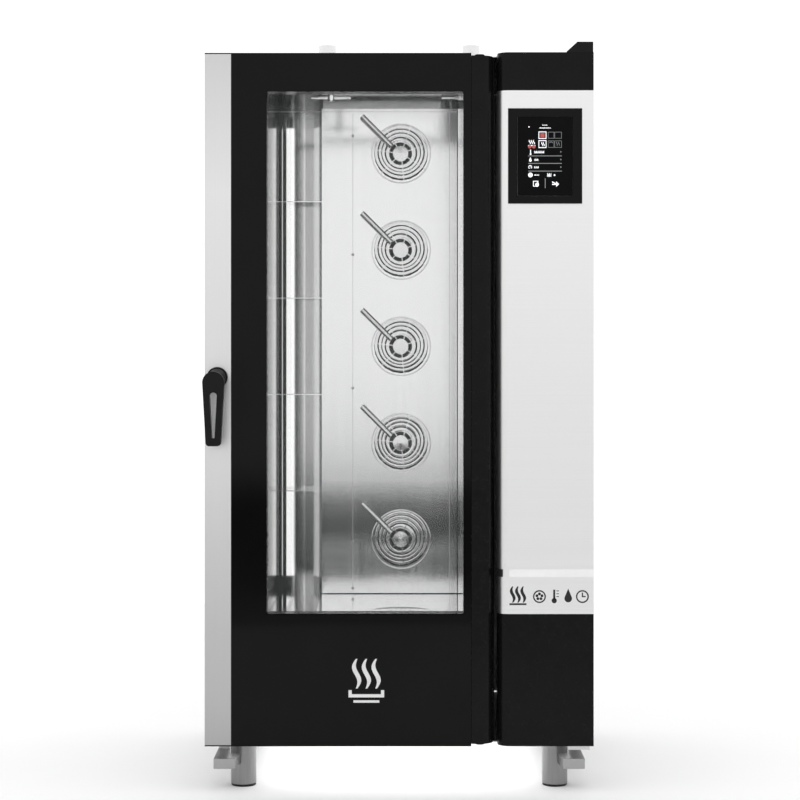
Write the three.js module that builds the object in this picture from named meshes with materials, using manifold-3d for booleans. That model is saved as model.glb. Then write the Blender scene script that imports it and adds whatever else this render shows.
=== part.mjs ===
// Floor-standing combi steamer oven for roll-in tray trolleys.
// Millimetres. +Z is up, the door faces -Y, +X is to the right of someone who stands in front of it.
// The origin is the centre of the footprint, on the floor.

import * as THREE from 'three';
import { mergeVertices } from 'three/addons/utils/BufferGeometryUtils.js';
import Module from 'manifold-3d';

const wasm = await Module();
wasm.setup();

// ---------------------------------------------------------------- driving dimensions

const HALF_WIDTH = 480;
const FRONT = -385; // plane of the door glass and of the control fascia
const REAR = 440;
const REAR_STUB = 465; // water and drain connections end here
const BODY_BOTTOM = 115;
const SKIN_BOTTOM = 117;
const SKIN_TOP = 1828;
const BODY_TOP = 1830;
const CHIMNEY_TOP = 1920;
const SHEET = 2; // thickness of heavy sheet
const SKIN = 1.5; // thickness of cover sheet
const GAP = 0.3; // clearance between pieces that touch
const THROUGH = 4; // how far a cutter passes a face

const CAVITY = { left: -335, right: 162, bottom: 419, top: 1785, back: 330, corner: 62 };
const GASKET = { face: 14, corner: 24, mouthCorner: 4 };
const FLANGE_FRONT = -308; // front plane of the cabinet, behind the door
const FLANGE_RIGHT = 238;

const DOOR = { left: -480, right: 178, back: -320.5, bottom: SKIN_BOTTOM, top: SKIN_TOP };
const HINGE = { x: 200, y: -352.5, radius: 32.5, pinRadius: 5, halfPlate: 12, leafHeight: 80, leaf: 3 };
const STRIP_RIGHT = -415; // the steel strip runs down the door's free edge up to here
const WINDOW = { left: -327, right: 159, bottom: 443.6, top: 1733.4 };
const INNER_GLASS = { left: -358, right: 172, bottom: 388, top: 1815 };
const GLASS = { outer: 6, inner: 5 };
const INNER_GLASS_FRONT = DOOR.back - GLASS.inner;
const CAP = 2.5; // thickness of the plates that close the door frame at top and bottom
const REVEAL = 2; // thickness of the door frame round the window
const PANE_BOTTOM = DOOR.bottom + CAP + GAP;
const PANE_TOP = DOOR.top - CAP - GAP;
const BRACKET = 5; // thickness of the hinge plates

const FAN_COUNT = 5;
const FAN_X = 5;
const FAN_TOP_Z = 1641;
const FAN_PITCH = 267.6;
const BAFFLE = { left: -215, right: 160, bottom: 421, top: 1765, front: 240, intake: 75, fold: 22 };
const GUARD = { outer: 83, rim: 7, ringOuter: 61, ringInner: 45, hub: 27, spokes: 7, bar: 3, front: 236 };
const FIRST_SPOKE = THREE.MathUtils.degToRad(19);
const IMPELLER = { radius: 100, front: 264, back: 314, blades: 6, rim: 20, hub: 22, hubDepth: 24, vane: 38 };
const SHAFT = { radius: 8, end: 372 };
const MOTOR = { flange: 62, flangeDepth: 3.7, seatGap: 1.5, can: 55, back: 420, bore: 9, boreEnd: 380 };
const TERMINAL_BOX = { half: 24, front: 350, back: 400, bottom: 40, top: 72 };
const HEATER = { radius: 118, tube: 5, leg: 4.5, y: 290, busY: 352, busRadius: 8, busPastLoop: 20 };
const HEATER_HOLE_DEPTH = 35; // the legs leave through the cavity's rounded back corner
// The injection tube about its fan's axis: its open end, the feed that carries it, and its tip.
const SPRAY = { endX: -108.5, endZ: 101.5, dx: -101.5, dz: 94.5, tipX: -26, tipZ: 19, y: 225 };
const SPRAY_TUBE = { radius: 8, bore: 6, boreDepth: 16 };
const MANIFOLD = { y: 352.3, radius: 9, inletZ: 470, pastTop: 15, nut: 14, nutDepth: 12 };
const LINER_HOLE = { shaft: 12, heater: 8, feed: 10, washArm: 9, probe: 4 };

const LOUVRE = { count: 9, length: 120, height: 7, pitch: 22, bottom: 300, y: 260 };

const COLUMN = { left: 242, cornerX: 30, cornerY: 33, steelBottom: 443.6, steelTop: 1735.6 };
const BEZEL = { left: 268.4, right: 451.2, bottom: 1456, top: 1691, depth: 3.7 };
const SCREEN = { left: 292, right: 428, bottom: 1475, top: 1670, depth: 2.9 };

const DRAIN = { x: 4, y: -150, radius: 25, wall: 2.5, z: 300 };
const CHIMNEY = { x: 195, y: 115, outer: 23, inner: 21, seatGap: 1.5, collar: 14, collarDepth: 2 };
const FLAP = { z: 1808, halfDisc: 0.8, spindle: 2.4, spindleLeft: -36, spindleRight: 27, hole: 3 };
const WASH_ARM = { x: -177, y: -118, z: 1750, half: 52, tube: 4.5, hub: 10, halfHub: 9 };
const WASH_STEM = { radius: 6, top: 48 };
const PROBE = { radius: 3, length: 53, pastWall: 20, gland: 8, glandLength: 12 };
const TRAY = { bottom: 330, lipTop: 348, leafTop: 372, front: -311, sheet: 1.2 };
const COWL = { left: 414, shoulder: 440, right: 479, top: 1856, front: -383, back: -200, wall: 2 };
const BOARD = { left: 290, right: 450, bottom: 1470, top: 1680, front: -362, back: -360, inset: 10 };
// The board's components: x range, z range and how far back each one stands.
const BOARD_PARTS = [
  { x: [300, 340], z: [1480, 1520], back: -345 },
  { x: [350, 400], z: [1560, 1600], back: -350 },
  { x: [310, 330], z: [1620, 1665], back: -340 },
  { x: [410, 440], z: [1485, 1500], back: -348 },
];

const HANDLE = { x: -448.5, z: 1027, radius: 26, front: -465, gripBack: -440, headX: -452, headZ: 1016 };
const GRIP = { headRadius: 26.5, bottom: 861, halfFoot: 18.4, corner: 9 };
const GRIP_SLOT = { top: 983, topRadius: 9, bottom: 883.2, bottomRadius: 3.65 };
const CRANK = { length: 14, half: 5, front: -358, back: -350 };
const SPINDLE = { radius: 8, end: -348, hole: 10 };
const LOCK = { left: -468, right: -452, front: -347, back: -339, heights: [700, 1360], rest: 5 };
const LOCK_BAR = { bottom: 640, top: 1420, tongueEnd: -312, halfTongue: 6, halfSlot: 15 };
const STRIKE = { left: -474, right: -440, bottom: 620, top: 1440, halfKeeper: 22, halfPocket: 16 };

const RAIL = { bottom: 57, top: 83, front: -365, back: 400, outer: 460, tip: 408, inner: 371, taper: 220 };
const LEG = { x: 392, front: -275, rear: 380, radius: 32, padHeight: 5, bore: 12.8, stem: 12, top: 112.7 };
const LEG_FLARE = { bottom: 100, extra: 4, boreTop: 95, stemTop: 90 };
const BASE = { half: 472, back: 432, outer: 458, inner: 430, front: -240, rearFront: 418, rearBottom: 93 };
const FRONT_TAB = { left: 417, right: 471, front: -372, back: -304, bottom: 106 };

// ---------------------------------------------------------------- finishes

const finish = (color, roughness, metalness, extra = {}) =>
  new THREE.MeshStandardMaterial({ color, roughness, metalness, ...extra });

const brushedSteel = finish(0xd9d9db, 0.34, 1);
const polishedSteel = finish(0xe2e2e4, 0.16, 1);
const sheetSteel = finish(0xb8b9bb, 0.42, 1);
const blackEnamel = finish(0x1b1b1c, 0.28, 0.1);
const blackGlass = finish(0x141415, 0.06, 0, { transparent: true, opacity: 0.55 });
const clearGlass = finish(0xe8efee, 0.04, 0, { transparent: true, opacity: 0.25 });
const blackPlastic = finish(0x161616, 0.38, 0);
const darkRubber = finish(0x202020, 0.85, 0);
const screenFinish = finish(0x08090a, 0.08, 0);
const motorPaint = finish(0x4b4f54, 0.55, 0.3);
const heaterSheath = finish(0x6b645c, 0.5, 0.8);
const boardGreen = finish(0x1f5a3a, 0.6, 0);

// ---------------------------------------------------------------- solids

function solidOf(geometry) {
  const bare = geometry.clone();
  bare.deleteAttribute('normal');
  bare.deleteAttribute('uv');
  const welded = mergeVertices(bare, 1e-3);
  return new wasm.Manifold(
    new wasm.Mesh({
      numProp: 3,
      vertProperties: new Float32Array(welded.attributes.position.array),
      triVerts: new Uint32Array(welded.index.array),
    }),
  );
}

function geometryOf(solid) {
  const { numProp, vertProperties, triVerts } = solid.getMesh();
  const count = vertProperties.length / numProp;
  const positions = new Float32Array(count * 3);
  for (let i = 0; i < count; i++) {
    positions.set(vertProperties.subarray(i * numProp, i * numProp + 3), i * 3);
  }
  const geometry = new THREE.BufferGeometry();
  geometry.setAttribute('position', new THREE.BufferAttribute(positions, 3));
  geometry.setIndex(new THREE.BufferAttribute(new Uint32Array(triVerts), 1));
  geometry.computeVertexNormals();
  return geometry;
}

const join = (solids) => solids.reduce((whole, solid) => whole.add(solid));
const cut = (solid, cutters) => cutters.reduce((rest, cutter) => rest.subtract(cutter), solid);

function block([x0, x1], [y0, y1], [z0, z1]) {
  const geometry = new THREE.BoxGeometry(x1 - x0, y1 - y0, z1 - z0);
  geometry.translate((x0 + x1) / 2, (y0 + y1) / 2, (z0 + z1) / 2);
  return solidOf(geometry);
}

// An outline given as (x, y), raised from z0 to z1.
function alongZ(outline, z0, z1, curveSegments = 12) {
  const geometry = new THREE.ExtrudeGeometry(outline, { depth: z1 - z0, bevelEnabled: false, curveSegments });
  geometry.translate(0, 0, z0);
  return solidOf(geometry);
}

// An outline given as (x, z), drawn from y0 back to y1.
function alongY(outline, y0, y1, curveSegments = 12) {
  const geometry = new THREE.ExtrudeGeometry(outline, { depth: y1 - y0, bevelEnabled: false, curveSegments });
  geometry.rotateX(Math.PI / 2);
  geometry.translate(0, y1, 0);
  return solidOf(geometry);
}

// An outline given as (y, z), drawn from x0 to x1.
function alongX(outline, x0, x1, curveSegments = 12) {
  const geometry = new THREE.ExtrudeGeometry(outline, { depth: x1 - x0, bevelEnabled: false, curveSegments });
  const turn = new THREE.Matrix4().makeBasis(
    new THREE.Vector3(0, 1, 0),
    new THREE.Vector3(0, 0, 1),
    new THREE.Vector3(1, 0, 0),
  );
  geometry.applyMatrix4(turn);
  geometry.translate(x0, 0, 0);
  return solidOf(geometry);
}

function rod(from, to, radius, sides = 12, endRadius = radius) {
  const start = new THREE.Vector3(...from);
  const end = new THREE.Vector3(...to);
  const direction = end.clone().sub(start);
  const geometry = new THREE.CylinderGeometry(endRadius, radius, direction.length(), sides);
  const turn = new THREE.Quaternion().setFromUnitVectors(
    new THREE.Vector3(0, 1, 0),
    direction.clone().normalize(),
  );
  geometry.applyQuaternion(turn);
  const middle = start.add(end).multiplyScalar(0.5);
  geometry.translate(middle.x, middle.y, middle.z);
  return solidOf(geometry);
}

const rodX = (y, z, x0, x1, radius, sides) => rod([x0, y, z], [x1, y, z], radius, sides);
const rodY = (x, z, y0, y1, radius, sides) => rod([x, y0, z], [x, y1, z], radius, sides);
const rodZ = (x, y, z0, z1, radius, sides) => rod([x, y, z0], [x, y, z1], radius, sides);

// A profile of [radius, height] points that closes on itself, turned about a vertical axis.
function turned(profile, sides, x = 0, y = 0) {
  const points = [...profile, profile[0]].map(([radius, height]) => new THREE.Vector2(radius, height));
  const geometry = new THREE.LatheGeometry(points, sides);
  geometry.rotateX(Math.PI / 2);
  geometry.translate(x, y, 0);
  return solidOf(geometry);
}

// ---------------------------------------------------------------- outlines

function polygon(points) {
  return new THREE.Shape(points.map(([u, v]) => new THREE.Vector2(u, v)));
}

function roundedRectangle(u0, u1, v0, v1, radius) {
  const shape = new THREE.Shape();
  shape.moveTo(u0 + radius, v0);
  shape.lineTo(u1 - radius, v0);
  shape.absarc(u1 - radius, v0 + radius, radius, -Math.PI / 2, 0, false);
  shape.lineTo(u1, v1 - radius);
  shape.absarc(u1 - radius, v1 - radius, radius, 0, Math.PI / 2, false);
  shape.lineTo(u0 + radius, v1);
  shape.absarc(u0 + radius, v1 - radius, radius, Math.PI / 2, Math.PI, false);
  shape.lineTo(u0, v0 + radius);
  shape.absarc(u0 + radius, v0 + radius, radius, Math.PI, 1.5 * Math.PI, false);
  return shape;
}

function annulus(u, v, outer, inner) {
  const shape = new THREE.Shape();
  shape.absarc(u, v, outer, 0, 2 * Math.PI, false);
  const hole = new THREE.Path();
  hole.absarc(u, v, inner, 0, 2 * Math.PI, true);
  shape.holes.push(hole);
  return shape;
}

// The cavity in plan: square at the front, round at its two back corners.
function cavityPlan(inset, front) {
  const left = CAVITY.left + inset;
  const right = CAVITY.right - inset;
  const back = CAVITY.back - inset;
  const radius = CAVITY.corner - inset;
  const shape = new THREE.Shape();
  shape.moveTo(left, front);
  shape.lineTo(right, front);
  shape.lineTo(right, back - radius);
  shape.absarc(right - radius, back - radius, radius, 0, Math.PI / 2, false);
  shape.lineTo(left + radius, back);
  shape.absarc(left + radius, back - radius, radius, Math.PI / 2, Math.PI, false);
  shape.lineTo(left, front);
  return shape;
}

// ---------------------------------------------------------------- assembly groups

const oven = new THREE.Group();
const cabinet = new THREE.Group();
const door = new THREE.Group();
oven.add(cabinet, door);
door.position.set(HINGE.x, HINGE.y, 0);

const fanHeights = Array.from({ length: FAN_COUNT }, (_, i) => FAN_TOP_Z - i * FAN_PITCH);
const fanPlaces = fanHeights.map((z) => {
  const place = new THREE.Group();
  place.position.set(FAN_X, 0, z);
  cabinet.add(place);
  return place;
});

// Adds a solid drawn in the parent's own frame.
function addPiece(parent, name, solid, material) {
  const mesh = new THREE.Mesh(geometryOf(solid), material);
  mesh.name = name;
  parent.add(mesh);
  return mesh;
}

// Adds a solid drawn in the oven's frame to the door, whose group stands on the hinge axis.
function addToDoor(name, solid, material) {
  const mesh = addPiece(door, name, solid, material);
  mesh.position.set(-HINGE.x, -HINGE.y, 0);
}

// ---------------------------------------------------------------- base and feet

function baseFrame() {
  const { half, back, outer, inner, front, rearFront, rearBottom } = BASE;
  const underside = BODY_BOTTOM - SHEET;
  const plate = block([-half, half], [FLANGE_FRONT, back], [underside, BODY_BOTTOM]);
  const channel = (x0, x1) => block([x0, x1], [front, back], [RAIL.top + GAP, underside + 1]);
  const rearMember = block([-outer, outer], [rearFront, back], [rearBottom, BODY_BOTTOM - 1]);
  const frontTab = block([FRONT_TAB.left, FRONT_TAB.right], [FRONT_TAB.front, FRONT_TAB.back],
    [FRONT_TAB.bottom, BODY_BOTTOM]);
  return join([plate, channel(-outer, -inner), channel(inner, outer), rearMember, frontTab]);
}

function baseRail(side) {
  const plan = polygon([
    [-RAIL.outer, RAIL.front],
    [-RAIL.tip, RAIL.front],
    [-RAIL.inner, RAIL.front + RAIL.taper],
    [-RAIL.inner, RAIL.back],
    [-RAIL.outer, RAIL.back],
  ]);
  const bar = alongZ(plan, RAIL.bottom, RAIL.top);
  const legs = [LEG.front, LEG.rear].map((y) => [
    rodZ(-LEG.x, y, LEG.padHeight + GAP, LEG.top, LEG.radius, 18),
    rod([-LEG.x, y, LEG_FLARE.bottom], [-LEG.x, y, LEG.top], LEG.radius, 18, LEG.radius + LEG_FLARE.extra),
  ]);
  const bores = [LEG.front, LEG.rear].map((y) => rodZ(-LEG.x, y, 0, LEG_FLARE.boreTop, LEG.bore, 12));
  const rail = cut(join([bar, ...legs.flat()]), bores);
  return side < 0 ? rail : rail.mirror([1, 0, 0]);
}

function foot() {
  const pad = rodZ(0, 0, 0, LEG.padHeight, LEG.radius - 1, 18);
  const stem = rodZ(0, 0, LEG.padHeight - 1, LEG_FLARE.stemTop, LEG.stem, 10);
  return pad.add(stem);
}

addPiece(cabinet, 'base_frame', baseFrame(), sheetSteel);
addPiece(cabinet, 'left_base_rail', baseRail(-1), brushedSteel);
addPiece(cabinet, 'right_base_rail', baseRail(1), brushedSteel);

for (const [row, y] of [['front', LEG.front], ['rear', LEG.rear]]) {
  for (const [side, x] of [['left', -LEG.x], ['right', LEG.x]]) {
    const mesh = addPiece(oven, `${row}_${side}_foot`, foot(), darkRubber);
    mesh.position.set(x, y, 0);
  }
}

// ---------------------------------------------------------------- outer covers

function sidePanel(side) {
  const front = FLANGE_FRONT + SHEET + GAP;
  const back = REAR - SHEET - GAP;
  const returnDepth = 18;
  const inner = HALF_WIDTH - SKIN;
  const tip = HALF_WIDTH - returnDepth;
  const plan = polygon([
    [-tip, front],
    [-tip, front + SKIN],
    [-inner, front + SKIN],
    [-inner, back - SKIN],
    [-tip, back - SKIN],
    [-tip, back],
    [-HALF_WIDTH, back],
    [-HALF_WIDTH, front],
  ]);
  const panel = alongZ(plan, SKIN_BOTTOM, SKIN_TOP);
  if (side < 0) return panel;
  const louvres = Array.from({ length: LOUVRE.count }, (_, i) => {
    const z = LOUVRE.bottom + i * LOUVRE.pitch;
    return block([inner - THROUGH, HALF_WIDTH + THROUGH], [LOUVRE.y, LOUVRE.y + LOUVRE.length],
      [z, z + LOUVRE.height]);
  });
  return cut(panel.mirror([1, 0, 0]), louvres);
}

function rearPanel() {
  const sheet = block([-HALF_WIDTH, HALF_WIDTH], [REAR - SHEET, REAR], [SKIN_BOTTOM, SKIN_TOP]);
  const holes = [
    rodY(DRAIN.x, DRAIN.z, REAR - THROUGH, REAR + THROUGH, DRAIN.radius + 1, 20),
    rodY(FAN_X + SPRAY.dx, MANIFOLD.inletZ, REAR - THROUGH, REAR + THROUGH, MANIFOLD.radius + SHEET, 16),
  ];
  const vents = fanHeights.flatMap((z) => [-14, 14].map((dz) =>
    block([FAN_X - 50, FAN_X + 50], [REAR - THROUGH, REAR + THROUGH], [z + dz - 4, z + dz + 4])));
  return cut(sheet, [...holes, ...vents]);
}

function topPanel() {
  const columnLeft = COLUMN.left + 4;
  const columnFront = FRONT + 4;
  const plan = polygon([
    [-HALF_WIDTH, FLANGE_FRONT],
    [columnLeft, FLANGE_FRONT],
    [columnLeft, -352],
    [columnLeft + 26, columnFront],
    [HALF_WIDTH - SHEET, columnFront],
    [HALF_WIDTH - SHEET, FLANGE_FRONT],
    [HALF_WIDTH, FLANGE_FRONT],
    [HALF_WIDTH, REAR],
    [-HALF_WIDTH, REAR],
  ]);
  const sheet = alongZ(plan, SKIN_TOP + GAP, BODY_TOP);
  const holes = [-1, 1].map((side) =>
    rodZ(side * CHIMNEY.x, CHIMNEY.y, SKIN_TOP - THROUGH, BODY_TOP + THROUGH, CHIMNEY.outer + 1, 18));
  return cut(sheet, holes);
}

// The column's cover in plan, its left corner a quarter ellipse.
function columnPlan(inset, thickness, back, rightEnd) {
  const centreX = COLUMN.left + COLUMN.cornerX;
  const centreY = FRONT + COLUMN.cornerY;
  const outerX = COLUMN.cornerX - inset;
  const outerY = COLUMN.cornerY - inset;
  const innerX = outerX - thickness;
  const innerY = outerY - thickness;
  const shape = new THREE.Shape();
  shape.moveTo(centreX - outerX, back);
  shape.lineTo(centreX - outerX, centreY);
  shape.absellipse(centreX, centreY, outerX, outerY, Math.PI, 1.5 * Math.PI, false);
  shape.lineTo(HALF_WIDTH, centreY - outerY);
  shape.lineTo(HALF_WIDTH, rightEnd);
  shape.lineTo(HALF_WIDTH - thickness, rightEnd);
  shape.lineTo(HALF_WIDTH - thickness, centreY - innerY);
  shape.lineTo(centreX, centreY - innerY);
  shape.absellipse(centreX, centreY, innerX, innerY, 1.5 * Math.PI, Math.PI, true);
  shape.lineTo(centreX - innerX, back);
  return shape;
}

function columnFront() {
  const cover = alongZ(columnPlan(1.8, SKIN, FLANGE_FRONT, FLANGE_FRONT), SKIN_BOTTOM, BODY_TOP, 5);
  const foldedBottom = block([COLUMN.left + 12, HALF_WIDTH - 1], [FRONT + 12, FLANGE_FRONT],
    [SKIN_BOTTOM, SKIN_BOTTOM + SKIN]);
  const frontLip = block([COLUMN.left + 34, HALF_WIDTH - 1], [FRONT + 2, FRONT + 14],
    [SKIN_BOTTOM, SKIN_BOTTOM + SKIN]);
  return join([cover, foldedBottom, frontLip]);
}

function controlFascia() {
  const plan = columnPlan(0, SKIN, FRONT + COLUMN.cornerY + 6, FRONT + SKIN + 0.01);
  return alongZ(plan, COLUMN.steelBottom, COLUMN.steelTop, 5);
}

addPiece(cabinet, 'left_side_panel', sidePanel(-1), sheetSteel);
addPiece(cabinet, 'right_side_panel', sidePanel(1), sheetSteel);
addPiece(cabinet, 'rear_panel', rearPanel(), sheetSteel);
addPiece(cabinet, 'top_panel', topPanel(), sheetSteel);
addPiece(cabinet, 'column_front', columnFront(), blackEnamel);
addPiece(cabinet, 'control_fascia', controlFascia(), brushedSteel);

// ---------------------------------------------------------------- controls

function displayBezel() {
  const back = FRONT - GAP;
  const frame = block([BEZEL.left, BEZEL.right], [back - BEZEL.depth, back], [BEZEL.bottom, BEZEL.top]);
  const opening = block([SCREEN.left - GAP, SCREEN.right + GAP], [back - 2 * BEZEL.depth, back + THROUGH],
    [SCREEN.bottom - GAP, SCREEN.top + GAP]);
  return frame.subtract(opening);
}

function displayScreen() {
  const back = FRONT - GAP;
  return block([SCREEN.left, SCREEN.right], [back - SCREEN.depth, back], [SCREEN.bottom, SCREEN.top]);
}

function controlBoard() {
  const { left, right, bottom, top, front, back, inset } = BOARD;
  const middle = (front + back) / 2;
  const board = block([left, right], [front, back], [bottom, top]);
  const parts = BOARD_PARTS.map((part) => block(part.x, [middle, part.back], part.z));
  const standoffs = [left + inset, right - inset].flatMap((x) => [bottom + inset / 2, top - inset / 2]
    .map((z) => rodY(x, z, FRONT + THROUGH, middle, 3, 6)));
  return join([board, ...parts, ...standoffs]);
}

function ventCowl() {
  const { left, shoulder, right, top, front, back, wall } = COWL;
  const bottom = BODY_TOP + GAP;
  const slopeWall = 2.4; // the sloping wall is this much thicker, measured along X
  const section = (inset) => polygon([
    [left + slopeWall * inset, bottom - (inset ? THROUGH : 0)],
    [right - inset, bottom - (inset ? THROUGH : 0)],
    [right - inset, top - inset],
    [shoulder + inset, top - inset],
    [left + slopeWall * inset, bottom + SHEET],
  ]);
  return alongY(section(0), front, back).subtract(alongY(section(wall), front + wall, back - wall));
}

addPiece(cabinet, 'display_bezel', displayBezel(), blackPlastic);
addPiece(cabinet, 'display_screen', displayScreen(), screenFinish);
addPiece(cabinet, 'control_board', controlBoard(), boardGreen);
addPiece(cabinet, 'vent_cowl', ventCowl(), blackPlastic);

// ---------------------------------------------------------------- cooking cavity

const heaterLegX = FAN_X + HEATER.radius;
const sprayX = FAN_X + SPRAY.dx;

function cavityLiner() {
  const flange = block([-HALF_WIDTH, FLANGE_RIGHT], [FLANGE_FRONT, FLANGE_FRONT + SHEET],
    [SKIN_BOTTOM, SKIN_TOP]);
  const shell = alongZ(cavityPlan(-SHEET, FLANGE_FRONT + 1), CAVITY.bottom - SHEET, CAVITY.top + SHEET, 5);
  const room = alongZ(cavityPlan(0, FLANGE_FRONT - THROUGH), CAVITY.bottom, CAVITY.top, 5);
  const back = [CAVITY.back - THROUGH, CAVITY.back + SHEET + THROUGH];
  const holes = fanHeights.flatMap((z) => [
    rodY(FAN_X, z, ...back, LINER_HOLE.shaft, 10),
    rodY(heaterLegX, z, CAVITY.back - HEATER_HOLE_DEPTH, back[1], LINER_HOLE.heater, 6),
    rodY(sprayX, z + SPRAY.dz, ...back, LINER_HOLE.feed, 8),
  ]);
  const serviceHoles = [
    rodZ(DRAIN.x, DRAIN.y, CAVITY.bottom - 8, CAVITY.bottom + THROUGH, DRAIN.radius - DRAIN.wall, 16),
    rodZ(-CHIMNEY.x, CHIMNEY.y, CAVITY.top - THROUGH, CAVITY.top + 8, CHIMNEY.inner, 20),
    rodZ(WASH_ARM.x, WASH_ARM.y, CAVITY.top - THROUGH, CAVITY.top + 8, LINER_HOLE.washArm, 12),
    rodX(WASH_ARM.y, WASH_ARM.z, CAVITY.right - THROUGH, CAVITY.right + 8, LINER_HOLE.probe, 8),
  ];
  return cut(flange.add(shell), [room, ...holes, ...serviceHoles]);
}

function doorGasket() {
  const { left, right, bottom, top } = CAVITY;
  const { face, corner, mouthCorner } = GASKET;
  const outline = roundedRectangle(left - face, right + face, bottom - face, top + face, corner);
  outline.holes.push(roundedRectangle(left, right, bottom, top, mouthCorner));
  return alongY(outline, DOOR.back + GAP, FLANGE_FRONT - GAP, 3);
}

function airBaffle() {
  const plate = block([BAFFLE.left, BAFFLE.right], [BAFFLE.front, BAFFLE.front + SHEET],
    [BAFFLE.bottom, BAFFLE.top]);
  const foldDepth = [BAFFLE.front, BAFFLE.front + BAFFLE.fold];
  const leftReturn = block([BAFFLE.left, BAFFLE.left + SHEET], foldDepth, [BAFFLE.bottom, BAFFLE.top]);
  const topReturn = block([BAFFLE.left, BAFFLE.right], foldDepth, [BAFFLE.top - SHEET, BAFFLE.top]);
  const clearance = alongZ(cavityPlan(1, 0), BAFFLE.bottom, BAFFLE.top, 3);
  const dividers = fanHeights.slice(0, -1).map((z) => {
    const bottom = z - (FAN_PITCH + SHEET) / 2;
    return block([CAVITY.left, CAVITY.right], [BAFFLE.front, CAVITY.back], [bottom, bottom + SHEET])
      .intersect(clearance);
  });
  const holes = fanHeights.flatMap((z) => [
    rodY(FAN_X, z, BAFFLE.front - THROUGH, BAFFLE.front + 2 * THROUGH, BAFFLE.intake, 20),
    rodY(sprayX, z + SPRAY.dz, BAFFLE.front - THROUGH, BAFFLE.front + 2 * THROUGH, SPRAY_TUBE.radius + 1, 10),
  ]);
  return cut(join([plate, leftReturn, topReturn, ...dividers]), holes);
}

function floorDrainCover() {
  const top = CAVITY.bottom + GAP;
  const cover = turned([[3, top], [76, top], [80, top + 1.5], [74, top + 3.5], [3, top + 4.5]], 20,
    DRAIN.x, DRAIN.y);
  const slots = Array.from({ length: 6 }, (_, i) => {
    const angle = (i * Math.PI) / 3;
    const from = [DRAIN.x + 24 * Math.cos(angle), DRAIN.y + 24 * Math.sin(angle), top - THROUGH];
    return rod(from, [from[0], from[1], top + 2 * THROUGH], 5, 6);
  });
  return cut(cover, slots);
}

function drainPipe() {
  const run = (radius, top, end) => rodZ(DRAIN.x, DRAIN.y, DRAIN.z, top, radius, 12)
    .add(rodY(DRAIN.x, DRAIN.z, DRAIN.y, end, radius, 12))
    .add(rod([DRAIN.x, DRAIN.y, DRAIN.z - radius], [DRAIN.x, DRAIN.y, DRAIN.z], radius, 12));
  return run(DRAIN.radius, CAVITY.bottom - SHEET - GAP, REAR_STUB)
    .subtract(run(DRAIN.radius - DRAIN.wall, CAVITY.bottom + THROUGH, REAR_STUB + THROUGH));
}

function chimney(side) {
  const bottom = CAVITY.top + SHEET + CHIMNEY.seatGap;
  const collar = BODY_TOP + GAP;
  const tube = turned([
    [CHIMNEY.inner, bottom],
    [CHIMNEY.outer, bottom],
    [CHIMNEY.outer, collar],
    [CHIMNEY.outer + CHIMNEY.collar, collar],
    [CHIMNEY.outer + CHIMNEY.collar, collar + CHIMNEY.collarDepth],
    [CHIMNEY.outer, collar + CHIMNEY.collarDepth],
    [CHIMNEY.outer, CHIMNEY_TOP],
    [CHIMNEY.inner, CHIMNEY_TOP],
  ], 18, side * CHIMNEY.x, CHIMNEY.y);
  if (side > 0) return tube;
  const halfWay = CHIMNEY.outer + THROUGH;
  return tube.subtract(rodX(CHIMNEY.y, FLAP.z, -CHIMNEY.x - halfWay, -CHIMNEY.x + halfWay, FLAP.hole, 10));
}

function exhaustFlap() {
  const disc = rodZ(0, 0, -FLAP.halfDisc, FLAP.halfDisc, CHIMNEY.inner - FLAP.halfDisc, 16);
  const spindle = rodX(0, 0, FLAP.spindleLeft, FLAP.spindleRight, FLAP.spindle, 8);
  const lever = block([FLAP.spindleLeft, FLAP.spindleLeft + 4], [-3, 3], [-3, 15]);
  return join([disc, spindle, lever]);
}

function temperatureProbe() {
  const glandStart = CAVITY.right + SHEET + GAP;
  const { radius, length, pastWall, gland: glandRadius, glandLength } = PROBE;
  const stem = rodX(WASH_ARM.y, WASH_ARM.z, CAVITY.right - length, glandStart + pastWall, radius, 8);
  const gland = rodX(WASH_ARM.y, WASH_ARM.z, glandStart, glandStart + glandLength, glandRadius, 6);
  return stem.add(gland);
}

function washArm() {
  const hub = rodZ(0, 0, -WASH_ARM.halfHub, WASH_ARM.halfHub, WASH_ARM.hub, 10);
  const stem = rodZ(0, 0, 0, WASH_STEM.top, WASH_STEM.radius, 8);
  const arm = rodX(0, 0, -WASH_ARM.half, WASH_ARM.half, WASH_ARM.tube, 6);
  const nozzles = [-1, 1].map((side) =>
    rodZ(side * (WASH_ARM.half - 8), 0, -WASH_ARM.halfHub, 0, WASH_ARM.tube - 1, 6));
  return join([hub, stem, arm, ...nozzles]);
}

addPiece(cabinet, 'cavity_liner', cavityLiner(), polishedSteel);
addPiece(cabinet, 'door_gasket', doorGasket(), darkRubber);
addPiece(cabinet, 'air_baffle', airBaffle(), polishedSteel);
addPiece(cabinet, 'floor_drain_cover', floorDrainCover(), polishedSteel);
addPiece(cabinet, 'drain_pipe', drainPipe(), sheetSteel);
addPiece(cabinet, 'left_chimney', chimney(-1), brushedSteel);
addPiece(cabinet, 'right_chimney', chimney(1), brushedSteel);
addPiece(cabinet, 'temperature_probe', temperatureProbe(), polishedSteel);
addPiece(oven, 'exhaust_flap', exhaustFlap(), sheetSteel)
  .position.set(-CHIMNEY.x, CHIMNEY.y, FLAP.z);
addPiece(oven, 'wash_arm', washArm(), polishedSteel)
  .position.set(WASH_ARM.x, WASH_ARM.y, WASH_ARM.z);

// ---------------------------------------------------------------- fans, heaters and steam injection

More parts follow.
